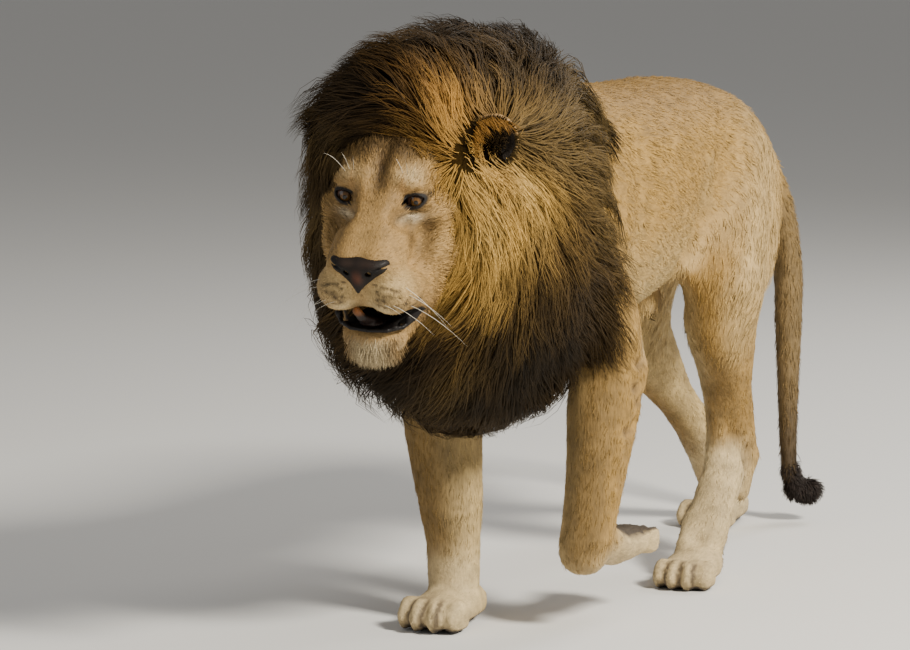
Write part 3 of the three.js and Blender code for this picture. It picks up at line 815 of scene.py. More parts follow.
def hide_material(name):
    """Short fur: the painted colour, broken up by fine streaks, with the nap of the hair as relief."""
    made, nodes, links, surface, place, colour = painted_material(name, 0.72, 0.3)
    spots = nodes.new("ShaderNodeTexNoise")
    spots.inputs["Scale"].default_value = 26
    spots.inputs["Detail"].default_value = 5
    links.new(place, spots.inputs["Vector"])
    # two naps, one for hair lying along the body and one for hair lying down the legs
    naps = []
    for scale in ((260, 60, 200), (260, 200, 60)):
        stretch = nodes.new("ShaderNodeMapping")
        stretch.inputs["Scale"].default_value = scale
        links.new(place, stretch.inputs["Vector"])
        streaks = nodes.new("ShaderNodeTexNoise")
        streaks.inputs["Scale"].default_value = 1
        streaks.inputs["Detail"].default_value = 3
        links.new(stretch.outputs["Vector"], streaks.inputs["Vector"])
        naps.append(streaks)
    upright = nodes.new("ShaderNodeAttribute")
    upright.attribute_name = "upright"
    nap = nodes.new("ShaderNodeMix")
    links.new(upright.outputs["Fac"], nap.inputs["Factor"])
    links.new(naps[0].outputs["Fac"], nap.inputs["A"])
    links.new(naps[1].outputs["Fac"], nap.inputs["B"])
    both = nodes.new("ShaderNodeMath")
    both.operation = "MULTIPLY_ADD"
    both.inputs[1].default_value = 0.75
    links.new(nap.outputs["Result"], both.inputs[0])
    links.new(spots.outputs["Fac"], both.inputs[2])
    shade = shaded(nodes, links, colour, both.outputs["Value"], 0.55, 1.2, 0.58, 1.32)
    links.new(shade, surface.inputs["Base Color"])
    relief = nodes.new("ShaderNodeBump")
    relief.inputs["Strength"].default_value = 0.8
    relief.inputs["Distance"].default_value = 0.002
    links.new(nap.outputs["Result"], relief.inputs["Height"])
    links.new(relief.outputs["Normal"], surface.inputs["Normal"])
    return made


short_fur = hide_material("short_fur")
for o in (skin_body, skin_head):
    o.data.shade_smooth()
    o.data.materials.append(short_fur)
bpy.ops.object.select_all(action="DESELECT")
skin_head.select_set(True)
skin_body.select_set(True)
bpy.context.view_layer.objects.active = skin_body
bpy.ops.object.join()
skin = skin_body
skin.select_set(False)
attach(skin, "root")
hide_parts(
    "trunk", "neck", "tail", "head", "ear_left", "ear_right",
    "foreleg_left_upper", "foreleg_left_lower", "foreleg_right_upper", "foreleg_right_lower",
    "hindleg_left_upper", "hindleg_left_lower", "hindleg_right_upper", "hindleg_right_lower",
    "forepaw_left", "forepaw_right", "hindfoot_left", "hindfoot_right",
)

# ---- Eyes ---------------------------------------------------------------------------------------
# Glass eyes: a round pupil, an amber-brown iris streaked from the middle, a dark ring and a brown
# white. The ball swells out before the iris, under a clear gloss, is set in the lids and looks a
# little to the left.

# how far each eye is turned to the left, in degrees
GAZE = {"left": 9, "right": 5}
CORNEA_RISE = 0.0011


def eye_glass():
    """Glass painted from behind, finely flecked."""
    made, nodes, links, surface, place, colour = painted_material("eye_glass", 0.35, 0.2, 0.6)
    fleck = nodes.new("ShaderNodeTexNoise")
    fleck.inputs["Scale"].default_value = 900
    links.new(place, fleck.inputs["Vector"])
    shade = shaded(nodes, links, colour, fleck.outputs["Fac"], 0.0, 1.0, 0.75, 1.25)
    links.new(shade, surface.inputs["Base Color"])
    return made


eye_material = eye_glass()
for side in ("left", "right"):
    middle = EYES[0] if side == "left" else EYES[1]
    bpy.ops.object.select_all(action="DESELECT")
    bpy.ops.mesh.primitive_uv_sphere_add(
        segments=64, ring_count=80, radius=EYE_RADIUS, location=(0, 0, 0)
    )
    ball = bpy.context.object
    ball.name = "glass_eye_" + side
    aim = HEAD_TURN @ Matrix.Rotation(math.radians(GAZE[side]), 3, "Z")
    aim = aim @ Matrix.Rotation(math.radians(90), 3, "X")
    p, _ = read_points(ball)
    angle = np.degrees(np.arccos(np.clip(p[:, 2] / EYE_RADIUS, -1, 1)))
    turn = np.arctan2(p[:, 1], p[:, 0])
    streak = 1 + 0.12 * np.sin(turn * 23) + 0.08 * np.sin(turn * 57 + 1.3)
    iris = mix((0.130, 0.060, 0.014), (0.065, 0.029, 0.008), ramp(angle, 16, 31)) * streak[:, None]
    c = mix((0.004, 0.003, 0.003), iris, ramp(angle, 11.5, 13.5))
    c = mix(c, (0.010, 0.007, 0.005), ramp(angle, 29.5, 33.0))
    c = mix(c, (0.085, 0.045, 0.030), ramp(angle, 36, 42))
    swell_out = CORNEA_RISE * (1 - ramp(angle, 5, 36))
    p = p * (1 + swell_out / EYE_RADIUS)[:, None]
    p = p @ np.array(aim).T + np.array(middle)
    ball.data.vertices.foreach_set("co", p.astype(np.float32).ravel())
    ball.data.update()
    paint(ball, np.clip(c, 0, 1))
    ball.data.shade_smooth()
    ball.data.materials.append(eye_material)
    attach(ball, "root")
    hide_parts("eye_" + side)

# ---- Nose ---------------------------------------------------------------------------------------
# Bare pebbled leather, near black and a little rusty in the middle, with comma-shaped nostrils and
# a groove down the centre. It caps the muzzle between the whisker pads.

LEATHER_GRAIN = 0.0010
NOSE_TRIANGLES = 22000

leather = Clay((-0.062, -0.190, -0.138), (0.062, -0.120, -0.050), LEATHER_GRAIN)
leather.egg((0, -0.154, -0.086), (0.034, 0.021, 0.018))
leather.rod((0, -0.152, -0.083), (0, -0.160, -0.108), 0.0155, 0.013, soft=0.010)
leather.rod((-0.042, -0.146, -0.080), (0.042, -0.146, -0.080), 0.0125, 0.0125, soft=0.006)
leather.rod((0, -0.160, -0.100), (0, -0.163, -0.128), 0.011, 0.0035, soft=0.008)
for s in (1, -1):
    leather.egg((s * 0.026, -0.152, -0.082), (0.020, 0.021, 0.014), (0, s * 6, s * 24), soft=0.010)
    leather.rod((s * 0.036, -0.152, -0.082), (s * 0.053, -0.138, -0.077), 0.0105, 0.0046, soft=0.008)
    leather.rod((s * 0.036, -0.150, -0.088), (0, -0.160, -0.118), 0.0105, 0.0060, soft=0.006)
    # the nostril, from its round front to its slit at the side, and then its depth
    for a, b, ra, rb, soft in (
        ((s * 0.014, -0.180, -0.098), (s * 0.026, -0.176, -0.091), 0.0050, 0.0064, 0.003),
        ((s * 0.026, -0.177, -0.091), (s * 0.038, -0.168, -0.084), 0.0052, 0.0032, 0.003),
        ((s * 0.038, -0.167, -0.084), (s * 0.054, -0.150, -0.080), 0.0028, 0.0014, 0.002),
        ((s * 0.020, -0.168, -0.093), (s * 0.020, -0.148, -0.090), 0.0056, 0.0040, 0.002),
    ):
        leather.rod(a, b, ra, rb, soft=soft, carve=True)
leather.rod((0, -0.1785, -0.078), (0, -0.1795, -0.126), 0.0012, 0.0012, soft=0.0040, carve=True)
leather.rub(0.0009)
nose_points, nose_faces = leather.surface(0.05)
nose = make_object("nose_leather", from_head(nose_points), nose_faces)
nose = thin_out(nose, NOSE_TRIANGLES)
q = to_head(read_points(nose)[0])
a = np.stack([np.abs(q[:, 0]), q[:, 1], q[:, 2]], 1)
c = np.tile(np.array((0.0065, 0.0045, 0.0035)), (len(q), 1))
c = mix(c, (0.085, 0.030, 0.016), near(a, (0.0, -0.172, -0.100), (0.011, 0.03, 0.014)) * 0.9)
c = mix(c, (0.030, 0.017, 0.012), near(a, (0.018, -0.165, -0.075), (0.020, 0.03, 0.008)) * 0.7)
# painted shade in the nostril holes, darker than the leather round them
NOSTRIL = ((0.016, -0.172, -0.096), (0.024, -0.168, -0.092), (0.033, -0.164, -0.087))
hole = np.minimum.reduce([np.linalg.norm(a - at, axis=1) for at in NOSTRIL])
c = mix(c, (0.003, 0.002, 0.002), 1 - ramp(hole, 0.0045, 0.0085))
paint(nose, c)


def leather_material(name, scale, rough, coat):
    """Bare skin with a fine pebble, more or less wet."""
    made, nodes, links, surface, place, colour = painted_material(name, rough, 0.2, coat, 0.2)
    links.new(colour, surface.inputs["Base Color"])
    pebbles = nodes.new("ShaderNodeTexVoronoi")
    pebbles.inputs["Scale"].default_value = scale
    links.new(place, pebbles.inputs["Vector"])
    relief = nodes.new("ShaderNodeBump")
    relief.invert = True
    relief.inputs["Strength"].default_value = 0.6
    relief.inputs["Distance"].default_value = 0.0006
    links.new(pebbles.outputs["Distance"], relief.inputs["Height"])
    links.new(relief.outputs["Normal"], surface.inputs["Normal"])
    return made


nose.data.materials.append(leather_material("nose_leather", 720, 0.60, 0.03))
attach(nose, "root")
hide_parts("nose")

# ---- Mouth: lips and tongue ---------------------------------------------------------------------
# The mouth hangs a little open. Black wet lips edge the lower jaw and turn up at the corners; the
# tip of the tongue lifts to the middle of the upper lip.

MOUTH_GRAIN = 0.0016
LIP_TRIANGLES = 16000
TONGUE_TRIANGLES = 12000
LIP_EDGE = [
    (0.077, -0.038, -0.2000),
    (0.071, -0.062, -0.2095),
    (0.058, -0.088, -0.2170),
    (0.034, -0.108, -0.2190),
    (0.0, -0.1150, -0.2185),
]

lips = Clay((-0.095, -0.150, -0.250), (0.095, -0.020, -0.165), MOUTH_GRAIN)
for s in (1, -1):
    for k, (a, b) in enumerate(zip(LIP_EDGE, LIP_EDGE[1:])):
        a, b = (s * a[0], a[1], a[2]), (s * b[0], b[1], b[2])
        lips.rod(a, b, 0.0038, 0.0038, soft=0.002)
        if 0 < k < 3:
            # the soft flaps along the side of the lip
            mid = tuple((u + v) / 2 for u, v in zip(a, b))
            lips.egg((mid[0], mid[1], mid[2] + 0.003), (0.0062, 0.0062, 0.0042), soft=0.004)
    lips.rod((s * 0.066, -0.078, -0.2035), (s * 0.073, -0.050, -0.2015), 0.0065, 0.0050, soft=0.004)
lips.egg((0, -0.070, -0.221), (0.052, 0.040, 0.008), soft=0.006)
lips.rub(0.0012)
lip_points, lip_faces = lips.surface(0.05)
lower_lip = make_object("lower_lip", from_head(lip_points), lip_faces)
lower_lip = thin_out(lower_lip, LIP_TRIANGLES)
paint(lower_lip, np.tile(np.array((0.0055, 0.004, 0.004)), (len(lower_lip.data.vertices), 1)))
wet = leather_material("wet_lip", 380, 0.62, 0.08)
lower_lip.data.materials.append(wet)

flesh = Clay((-0.045, -0.155, -0.225), (0.045, -0.005, -0.145), MOUTH_GRAIN)
flesh.rod((0, -0.010, -0.212), (0, -0.086, -0.212), 0.027, 0.024, flat=0.30)
flesh.rod((0, -0.086, -0.212), (-0.006, -0.126, -0.190), 0.017, 0.008, soft=0.010, flat=0.55)
flesh.rod((-0.006, -0.126, -0.190), (-0.010, -0.144, -0.172), 0.0080, 0.0076, soft=0.006)
flesh.rub(0.0014)
tongue_points, tongue_faces = flesh.surface(0.05)
tongue = make_object("tongue_tip", from_head(tongue_points), tongue_faces)
tongue = thin_out(tongue, TONGUE_TRIANGLES)
q = to_head(read_points(tongue)[0])
# the tongue is painted near black below its lifted tip: painted shade inside the mouth
paint(tongue, mix((0.010, 0.004, 0.003), (0.150, 0.052, 0.011), ramp(q[:, 2], -0.186, -0.174)))
tongue.data.materials.append(leather_material("tongue", 900, 0.5, 0.12))
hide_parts("tongue")
for o in (lower_lip, tongue):
    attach(o, "root")

# ---- Short coat: tufts over the hide ------------------------------------------------------------
# Flat, overlapping tufts of short hair, longest on the trunk, thighs and cheeks and shortest on the
# feet and the muzzle. They start just inside the skin and lie back along the trunk, limbs and tail.

COAT_TUFTS = 50000
FACE_PLACES = 120000
FACE_TUFTS = 15000
MOST_TRIANGLES = 195000
TUFT_CROSSING = 0.25
ROOT_DEPTH = 0.0006
LOWEST_HAIR = 0.0012
chance = np.random.default_rng(41)


def mesh_arrays(made):
    """The points, normals and triangles of an object."""
    made.data.calc_loop_triangles()
    tri = np.empty(len(made.data.loop_triangles) * 3, np.int32)
    made.data.loop_triangles.foreach_get("vertices", tri)
    return (*read_points(made), tri.reshape(-1, 3))


def scatter(p, n, tri, wanted, density=lambda p: np.ones(len(p))):
    """Random places on a mesh, more where density is high: points and normals."""
    a, b, c = p[tri[:, 0]], p[tri[:, 1]], p[tri[:, 2]]
    area = 0.5 * np.linalg.norm(np.cross(b - a, c - a), axis=1)
    share = area * density((a + b + c) / 3)
    pick = np.searchsorted(np.cumsum(share) / share.sum(), chance.random(wanted))
    pick = np.minimum(pick, len(tri) - 1)
    u, v = chance.random((2, wanted))
    turn = u + v > 1
    u, v = np.where(turn, 1 - u, u), np.where(turn, 1 - v, v)
    w = np.stack([1 - u - v, u, v], 1)[:, :, None]
    return (p[tri[pick]] * w).sum(1), unit((n[tri[pick]] * w).sum(1))


def unit(v):
    return v / (np.linalg.norm(v, axis=-1, keepdims=True) + 1e-9)


def strands(name, paths, widths, colours, spread, flat=0.45, nap=None, soft=0.6):
    """Closed three-sided tapering hairs along paths, joined into pieces of one kind."""
    count, rings, _ = paths.shape
    rings -= 1
    t = np.linspace(0, 1, rings, endpoint=False)
    profile = np.interp(t, [0, 0.2, 0.5, 1], [0.7, 1.0, 0.85, 0.1])
    tangent = np.empty((count, rings, 3))
    tangent[:, 1:] = paths[:, 2:] - paths[:, :-2]
    tangent[:, 0] = paths[:, 1] - paths[:, 0]
    tangent = unit(tangent)
    side = unit(np.cross(tangent, spread[:, None, :]))
    rise = np.cross(side, tangent)
    half = (0.5 * widths[:, None] * profile)[:, :, None, None]
    corner = np.array([(0, 1), (-1, -0.5), (1, -0.5)])
    ring = paths[:, :-1, None, :] + half * (
        side[:, :, None, :] * corner[None, None, :, 0:1]
        + rise[:, :, None, :] * corner[None, None, :, 1:2] * flat
    )
    points = np.concatenate([ring.reshape(count, rings * 3, 3), paths[:, -1:, :]], 1)
    # hair catches the light as the coat around it does, not each hair by itself
    nap = rise if nap is None else np.broadcast_to(nap[:, None], rise.shape)
    own = np.stack([rise, unit(0.25 * rise - side), unit(0.25 * rise + side)], 2)
    facing = unit(own * (1 - soft) + nap[:, :, None] * soft).reshape(count, rings * 3, 3)
    facing = np.concatenate([facing, facing[:, -3:-2]], 1)
    each = rings * 3 + 1
    faces, uvs = [], []
    for i in range(rings - 1):
        for k in range(3):
            a, b = i * 3 + k, i * 3 + (k + 1) % 3
            faces += [(a, b + 3, b), (a, a + 3, b + 3)]
            s0, s1, t0, t1 = k / 3, (k + 1) / 3, i / rings, (i + 1) / rings
            uvs += [(s0, t0, s1, t1, s1, t0), (s0, t0, s0, t1, s1, t1)]
    for k in range(3):
        a, b = (rings - 1) * 3 + k, (rings - 1) * 3 + (k + 1) % 3
        faces.append((b, a, rings * 3))
        uvs.append(((k + 1) / 3, (rings - 1) / rings, k / 3, (rings - 1) / rings, (k + 0.5) / 3, 1))
    faces.append((0, 1, 2))
    uvs.append((0, 0, 0.1, 0, 0, 0.1))
    faces, uvs = np.array(faces), np.array(uvs, float).reshape(-1, 3, 2)
    per = max(1, MOST_TRIANGLES // len(faces))
    made = []
    parts = max(1, math.ceil(count / per))
    for j in range(parts):
        cut = slice(j * count // parts, (j + 1) * count // parts)
        n = cut.stop - cut.start
        piece = make_object(
            name if parts == 1 else f"{name}_{j + 1}",
            points[cut].reshape(-1, 3),
            (faces[None] + each * np.arange(n)[:, None, None]).reshape(-1, 3),
        )
        dyed = colours[cut]
        shades = np.concatenate([np.repeat(dyed[:, :-1], 3, axis=1), dyed[:, -1:]], 1)
        paint(piece, shades.reshape(-1, 3))
        piece.data.normals_split_custom_set_from_vertices(facing[cut].reshape(-1, 3))
        made.append((piece, cut, uvs))
    return made


def lay_out(made, root_uv):
    """Each hair gets a small patch of its own at its root's place on the unrolled hide."""
    for piece, cut, uvs in made:
        layer = piece.data.uv_layers.new(name="OFBake")
        uv = root_uv[cut][:, None, None, :] * 0.996 + uvs[None] * 0.003
        layer.data.foreach_set("uv", uv.astype(np.float32).ravel())


def unrolled(points, names):
    """Place on the hide, unrolled along and around the nearest of the named bones, one tile each."""
    best = np.full(len(points), 1e9)
    uv = np.zeros((len(points), 2))
    side = int(math.ceil(math.sqrt(len(names))))
    for i, name in enumerate(names):
        a, b, r = BONES[name]
        ab = b - a
        t = np.clip(((points - a) @ ab) / (ab @ ab), -0.4, 1.4)
        off = points - a - t[:, None] * ab
        d = np.linalg.norm(points - a - np.clip(t, 0, 1)[:, None] * ab, axis=1) / r
        e1 = unit(np.cross(ab, (0.31, 0.22, 0.92) if abs(ab[2]) < abs(ab[1]) else (0.3, 0.9, 0.2)))
        e2 = unit(np.cross(ab, e1))
        angle = np.arctan2(off @ e2, off @ e1) / (2 * math.pi) + 0.5
        here = d < best
        across, along = i % side + 0.01 + 0.98 * angle, i // side + 0.01 + 0.98 * (t + 0.4) / 1.8
        tile = np.stack([across, along], 1) / side
        uv[here] = tile[here]
        best = np.minimum(best, d)
    return uv


def lie_of_coat(points, normals):
    """Hair runs along the bones, and back and down over the ribs."""
    _, shares, lie = bone_mix(points)
    torso = shares[:, 0] + shares[:, 1]
    lie = lie + torso[:, None] * np.array((0, 0.1, -0.42))
    return unit(lie - (lie * normals).sum(1, keepdims=True) * normals)


def lie_of_face(points, normals):
    """Hair runs back from the nose, up the forehead, out over the cheeks and down off the chin."""
    q = to_head(points)
    lie = q - np.array((0.0, -0.175, -0.085))
    lie[:, 0] *= 0.8
    chin = ramp(-q[:, 2], 0.19, 0.23)[:, None]
    lie = unit(lie) * (1 - chin) + np.array((0, 0.25, -0.9)) * chin
    lie = lie @ TURN.T
    return unit(lie - (lie * normals).sum(1, keepdims=True) * normals)


def short_tufts(name, points, normals, lie, length, width, colour, lift, bones, mottle):
    """A piece of short coat: tufts given by root, lie, length, width and colour."""
    n = len(points)
    side = np.cross(lie, normals)
    lie = unit(lie + side * chance.normal(0, TUFT_CROSSING, n)[:, None])
    length = length * chance.uniform(0.7, 1.3, n)
    width = width * chance.uniform(0.7, 1.3, n)
    lift = lift * chance.uniform(0.5, 1.6, n)
    t = np.array([0.0, 0.5, 1.0])
    along = length[:, None] * t
    # rises from the skin, then bends over towards it
    height = -ROOT_DEPTH + lift[:, None] * length[:, None] * (1.9 * t - 1.05 * t**2)
    paths = points[:, None] + lie[:, None] * along[..., None] + normals[:, None] * height[..., None]
    paths[:, :, 2] = np.maximum(paths[:, :, 2], LOWEST_HAIR)
    tone = np.clip(chance.normal(1.0, mottle, n), 0.4, 1.6)[:, None, None]
    # each tuft is painted darker at its root, as the shade where it meets the skin, and lighter towards its
    # tip
    shade = np.array([0.86, 1.02, 1.16])[None, :, None]
    shades = np.clip(colour[:, None] * tone * shade, 0, 1)
    made = strands(name, paths, width, shades, normals, flat=0.3, nap=normals, soft=0.8)
    lay_out(made, unrolled(points, bones))
    for piece, *_ in made:
        piece.data.materials.append(hair_material)
        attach(piece, "root")


def hair_sheen(name, rough, specular=0.1):
    """Hair: the painted colour with a fine grain of darker and lighter strands."""
    made, nodes, links, surface, place, colour = painted_material(name, rough, specular)
    grain = nodes.new("ShaderNodeTexNoise")
    grain.inputs["Scale"].default_value = 360
    grain.inputs["Detail"].default_value = 2
    links.new(place, grain.inputs["Vector"])
    shade = shaded(nodes, links, colour, grain.outputs["Fac"], 0.3, 0.7, 0.62, 1.38)
    links.new(shade, surface.inputs["Base Color"])
    return made


hair_material = hair_sheen("short_hair", 0.6)

# the outline of the mane, and of the body under it; ears stand in the mane
MANE_GRAIN = 0.006
mane_form = Clay(at_home(-0.38, -1.17, 0.27), at_home(0.38, -0.05, 1.31), MANE_GRAIN)
mane_form.press(*mane_form.piece(*node_mesh("mane")))
for s in (1, -1):
    ear_base, ear_tip = from_head((s * 0.140, 0.175, 0.060)), from_head((s * 0.166, 0.125, 0.066))
    mane_form.rod(ear_base, ear_tip, 0.052, 0.048)
mane_form.close_up(0.035)
outline = mane_form.twin()
outline.field = mane_form.field.copy()
for name in ("neck", "head", "trunk", "foreleg_left_upper", "foreleg_right_upper"):
    outline.press(*outline.piece(*node_mesh(name)))
outline.close_up(0.030)
outline.rub(0.008)
DEEP_BAND = 14.0  # the underhair lies farther in than the band that other forms are measured to
outline.renew(DEEP_BAND)


def hairline(q):
    """How far behind the edge of the long hair a place on the head lies, on the head's own axes."""
    heights = [-0.30, -0.27, -0.20, -0.12, 0.03, 0.075, 0.12]
    edges = [-0.055, -0.035, 0.0, 0.012, 0.022, 0.045, 0.030]
    return q[:, 1] - np.interp(q[:, 2], heights, edges)


def on_head(q):
    """Whether places on the head's axes lie on the head."""
    beside = (np.abs(q[:, 0]) < 0.22) & (np.abs(q[:, 1]) < 0.2) & (q[:, 2] > -0.29)
    return beside & (head.sample(q) < 0.004)


def on_bones(which, names):
    """Whether the bone that each place belongs to is one of the named ones."""
    return np.isin(which, [BONE_NAMES.index(b) for b in names])


p, n = scatter(*mesh_arrays(skin), COAT_TUFTS)
hidden = mane_form.sample(p) < -0.012
keep = ~on_head(to_head(p)) & ~hidden & (p[:, 2] > np.where(n[:, 2] < 0, 0.012, 0.004))
p, n = p[keep], n[keep]
which = bone_mix(p)[0]
small = on_bones(which, ("hand_l", "hand_r", "toes_l", "toes_r"))
limb = on_bones(which, [b for b in BONE_NAMES if b[-2:] in ("_l", "_r") and not b.startswith("thigh")])
length = np.where(small, 0.009, np.where(limb, 0.017, 0.026))
width = np.where(small, 0.0013, np.where(limb, 0.0018, 0.0023))
groups = {
    "coat_trunk": ("back", "neck"),
    "coat_thighs": ("thigh_l", "thigh_r", "tail", "tail_low"),
    "coat_hindlegs": ("shank_l", "foot_l", "toes_l", "shank_r", "foot_r", "toes_r"),
    "coat_forelegs": ("arm_l", "forearm_l", "hand_l", "arm_r", "forearm_r", "hand_r"),
}
# the tufts take the hide's colours, painted shade and light among them
colour = hide_colour(p, n)
lie = lie_of_coat(p, n)
for name, bones in groups.items():
    m = on_bones(which, bones)
    short_tufts(name, p[m], n[m], lie[m], length[m], width[m], colour[m], 0.11, bones, mottle=0.15)

p, n = scatter(
    *mesh_arrays(skin), FACE_PLACES, lambda p: (np.linalg.norm(to_head(p), axis=1) < 0.33) * 1.0
)
q = to_head(p)
# no tufts where the face is painted near black: bare black skin, and the painted shade in the ear cups and
# the mouth
bare_skin_and_painted_shade = face_colour(p, n).sum(1) < 0.09
in_mouth = (np.abs(q[:, 0]) < 0.066) & (np.abs(q[:, 2] + 0.203) < 0.014) & (q[:, 1] > -0.14)
keep = on_head(q) & ~bare_skin_and_painted_shade & ~in_mouth & (hairline(q) < 0.03)
p, n, q = (rows[keep][:FACE_TUFTS] for rows in (p, n, q))
back = ramp(q[:, 1], -0.12, 0.06)
length = 0.007 + 0.010 * back + 0.014 * ramp(hairline(q), -0.05, 0.0)
width = 0.0009 + 0.0007 * back
# the face tufts take the face's colours, painted shade among them
lie = lie_of_face(p, n)
short_tufts("coat_face", p, n, lie, length, width, face_colour(p, n), 0.17, ("neck",), mottle=0.32)

# ---- Mane ---------------------------------------------------------------------------------------
# Long coarse guard hair in locks: it sweeps up and over the crown, falls golden over the cheeks
# and hangs dark from the throat and chest. The locks grow from a felt of underhair, painted near
# black as the shade deep in the mane.

HAIRS = 31500
FARTHEST_OUT = 0.262
FELT_SHAVED = 0.054
FELT_REGROWN = 0.012
DYES = {
    "black": (0.0035, 0.0026, 0.0018),
    "dark": (0.013, 0.0085, 0.0045),
    "brown": (0.036, 0.022, 0.009),
    "olive": (0.080, 0.052, 0.018),
    "rust": (0.230, 0.110, 0.020),
    "gold": (0.360, 0.210, 0.048),
    "straw": (0.430, 0.275, 0.080),
}
# place in the mane, the way the hair runs there, and its colour
LIE = [
    # crest, swept up and over to the right
    ((0.04, -0.78, 1.16), (-0.83, -0.21, 0.51), "dark"),
    ((0.08, -0.56, 1.14), (-0.25, 0.10, 0.90), "dark"),
    ((0.15, -0.56, 1.09), (-0.20, 0.80, 0.45), "dark"),
    ((0.00, -0.93, 1.10), (-0.98, 0.15, 0.09), "black"),
    ((-0.06, -0.96, 1.07), (-0.96, 0.27, -0.04), "dark"),
    ((-0.10, -0.95, 1.03), (-0.95, 0.23, -0.22), "brown"),
    ((0.04, -0.88, 1.12), (-0.84, -0.34, 0.42), "dark"),
    ((0.10, -0.83, 1.11), (-0.72, 0.10, 0.66), "brown"),
    ((0.13, -0.74, 1.10), (-0.48, 0.19, 0.85), "dark"),
    ((0.16, -0.67, 1.06), (-0.30, 0.70, 0.62), "brown"),
    ((0.00, -0.62, 1.17), (-0.70, 0.15, 0.45), "dark"),
    ((0.00, -0.45, 1.13), (-0.30, 0.80, 0.35), "dark"),
    # golden band over the brow, dark where it meets the forehead
    ((0.10, -0.91, 1.05), (-0.60, -0.52, 0.58), "rust"),
    ((0.13, -0.88, 1.03), (-0.52, -0.33, 0.78), "rust"),
    ((0.07, -0.95, 1.03), (-0.90, -0.22, 0.35), "dark"),
    ((0.07, -0.965, 0.995), (-0.85, -0.15, 0.40), "black"),
    ((0.02, -0.96, 1.03), (-0.97, -0.09, 0.15), "black"),
    ((-0.05, -0.96, 1.01), (-0.97, 0.03, -0.20), "brown"),
    ((0.13, -0.92, 0.98), (-0.62, -0.50, 0.52), "rust"),
    ((0.145, -0.905, 0.955), (-0.62, -0.62, -0.20), "rust"),
    ((0.155, -0.875, 0.965), (-0.60, -0.60, -0.10), "gold"),
    # behind and under the left ear
    ((0.19, -0.71, 1.00), (0.03, 0.91, 0.42), "olive"),
    ((0.20, -0.62, 1.00), (0.00, 0.96, 0.25), "olive"),
    ((0.21, -0.66, 0.95), (0.10, 0.97, -0.12), "olive"),
    ((0.21, -0.73, 0.93), (0.22, 0.80, -0.52), "dark"),
    ((0.22, -0.62, 0.92), (0.20, 0.68, -0.70), "olive"),
    ((0.20, -0.48, 1.00), (0.05, 0.85, -0.40), "olive"),
    # cheek and side, hanging
    ((0.16, -0.89, 0.91), (0.12, -0.10, -0.98), "gold"),
    ((0.17, -0.87, 0.89), (0.14, -0.05, -0.98), "straw"),
    ((0.19, -0.82, 0.91), (0.20, 0.04, -0.98), "gold"),
    ((0.21, -0.76, 0.89), (0.22, 0.15, -0.96), "straw"),
    ((0.23, -0.70, 0.86), (0.06, 0.30, -0.95), "gold"),
    ((0.14, -0.90, 0.83), (-0.05, 0.05, -0.99), "gold"),
    ((0.18, -0.86, 0.81), (0.02, 0.06, -0.99), "straw"),
    ((0.21, -0.80, 0.80), (0.02, 0.12, -0.99), "gold"),
    ((0.22, -0.71, 0.77), (0.02, 0.16, -0.99), "brown"),
    ((0.23, -0.62, 0.76), (0.00, 0.15, -0.99), "brown"),
    ((0.11, -0.88, 0.72), (-0.30, 0.10, -0.95), "gold"),
    ((0.15, -0.86, 0.71), (-0.16, 0.10, -0.97), "gold"),
    # throat, chest and bib
    ((0.19, -0.79, 0.69), (-0.08, 0.12, -0.98), "dark"),
    ((0.21, -0.69, 0.65), (-0.05, 0.15, -0.98), "black"),
    ((0.22, -0.59, 0.64), (-0.04, 0.18, -0.98), "dark"),
    ((0.07, -0.86, 0.63), (-0.50, 0.05, -0.85), "brown"),
    ((0.11, -0.84, 0.61), (-0.30, 0.08, -0.95), "dark"),
    ((0.15, -0.78, 0.58), (-0.15, 0.10, -0.97), "black"),
    ((0.17, -0.68, 0.55), (-0.12, 0.15, -0.97), "black"),
    ((0.19, -0.60, 0.56), (-0.10, 0.15, -0.97), "dark"),
    ((0.01, -0.83, 0.55), (-0.38, 0.05, -0.92), "brown"),
    ((0.05, -0.80, 0.50), (-0.25, 0.05, -0.96), "olive"),
    ((0.09, -0.73, 0.47), (-0.18, 0.08, -0.97), "dark"),
    ((0.00, -0.66, 0.44), (-0.15, 0.10, -0.98), "brown"),
    ((-0.06, -0.82, 0.52), (-0.55, 0.05, -0.83), "dark"),
    ((-0.11, -0.82, 0.54), (-0.70, 0.15, -0.70), "dark"),
    ((0.03, -0.95, 0.58), (-0.45, -0.15, -0.88), "dark"),
    # right side, blown out and down
    ((-0.19, -0.87, 0.73), (-0.70, 0.30, -0.62), "brown"),
    ((-0.18, -0.90, 0.81), (-0.78, 0.20, -0.58), "olive"),
    ((-0.16, -0.92, 0.89), (-0.72, 0.15, -0.66), "brown"),
    ((-0.14, -0.94, 0.96), (-0.80, 0.10, -0.55), "olive"),
    ((-0.20, -0.72, 1.05), (-0.62, 0.45, -0.60), "brown"),
    ((-0.25, -0.66, 0.90), (-0.30, 0.45, -0.84), "brown"),
    ((-0.24, -0.66, 0.72), (-0.20, 0.30, -0.93), "dark"),
    ((-0.20, -0.62, 0.55), (-0.15, 0.15, -0.97), "black"),
    ((-0.22, -0.48, 0.95), (-0.15, 0.65, -0.72), "olive"),
    # where the mane runs out over the shoulders and withers
    ((0.22, -0.45, 0.82), (0.04, 0.35, -0.93), "olive"),
    ((0.21, -0.45, 0.64), (0.02, 0.25, -0.96), "brown"),
    ((-0.22, -0.45, 0.75), (-0.04, 0.35, -0.93), "olive"),
    ((0.00, -0.26, 1.09), (0.00, 0.98, 0.02), "olive"),
    ((0.12, -0.34, 1.02), (0.10, 0.85, -0.50), "olive"),
    ((-0.12, -0.34, 1.02), (-0.10, 0.85, -0.50), "olive"),
]
LIE_AT = np.array([row[0] for row in LIE])
LIE_RUN = np.array([row[1] for row in LIE])
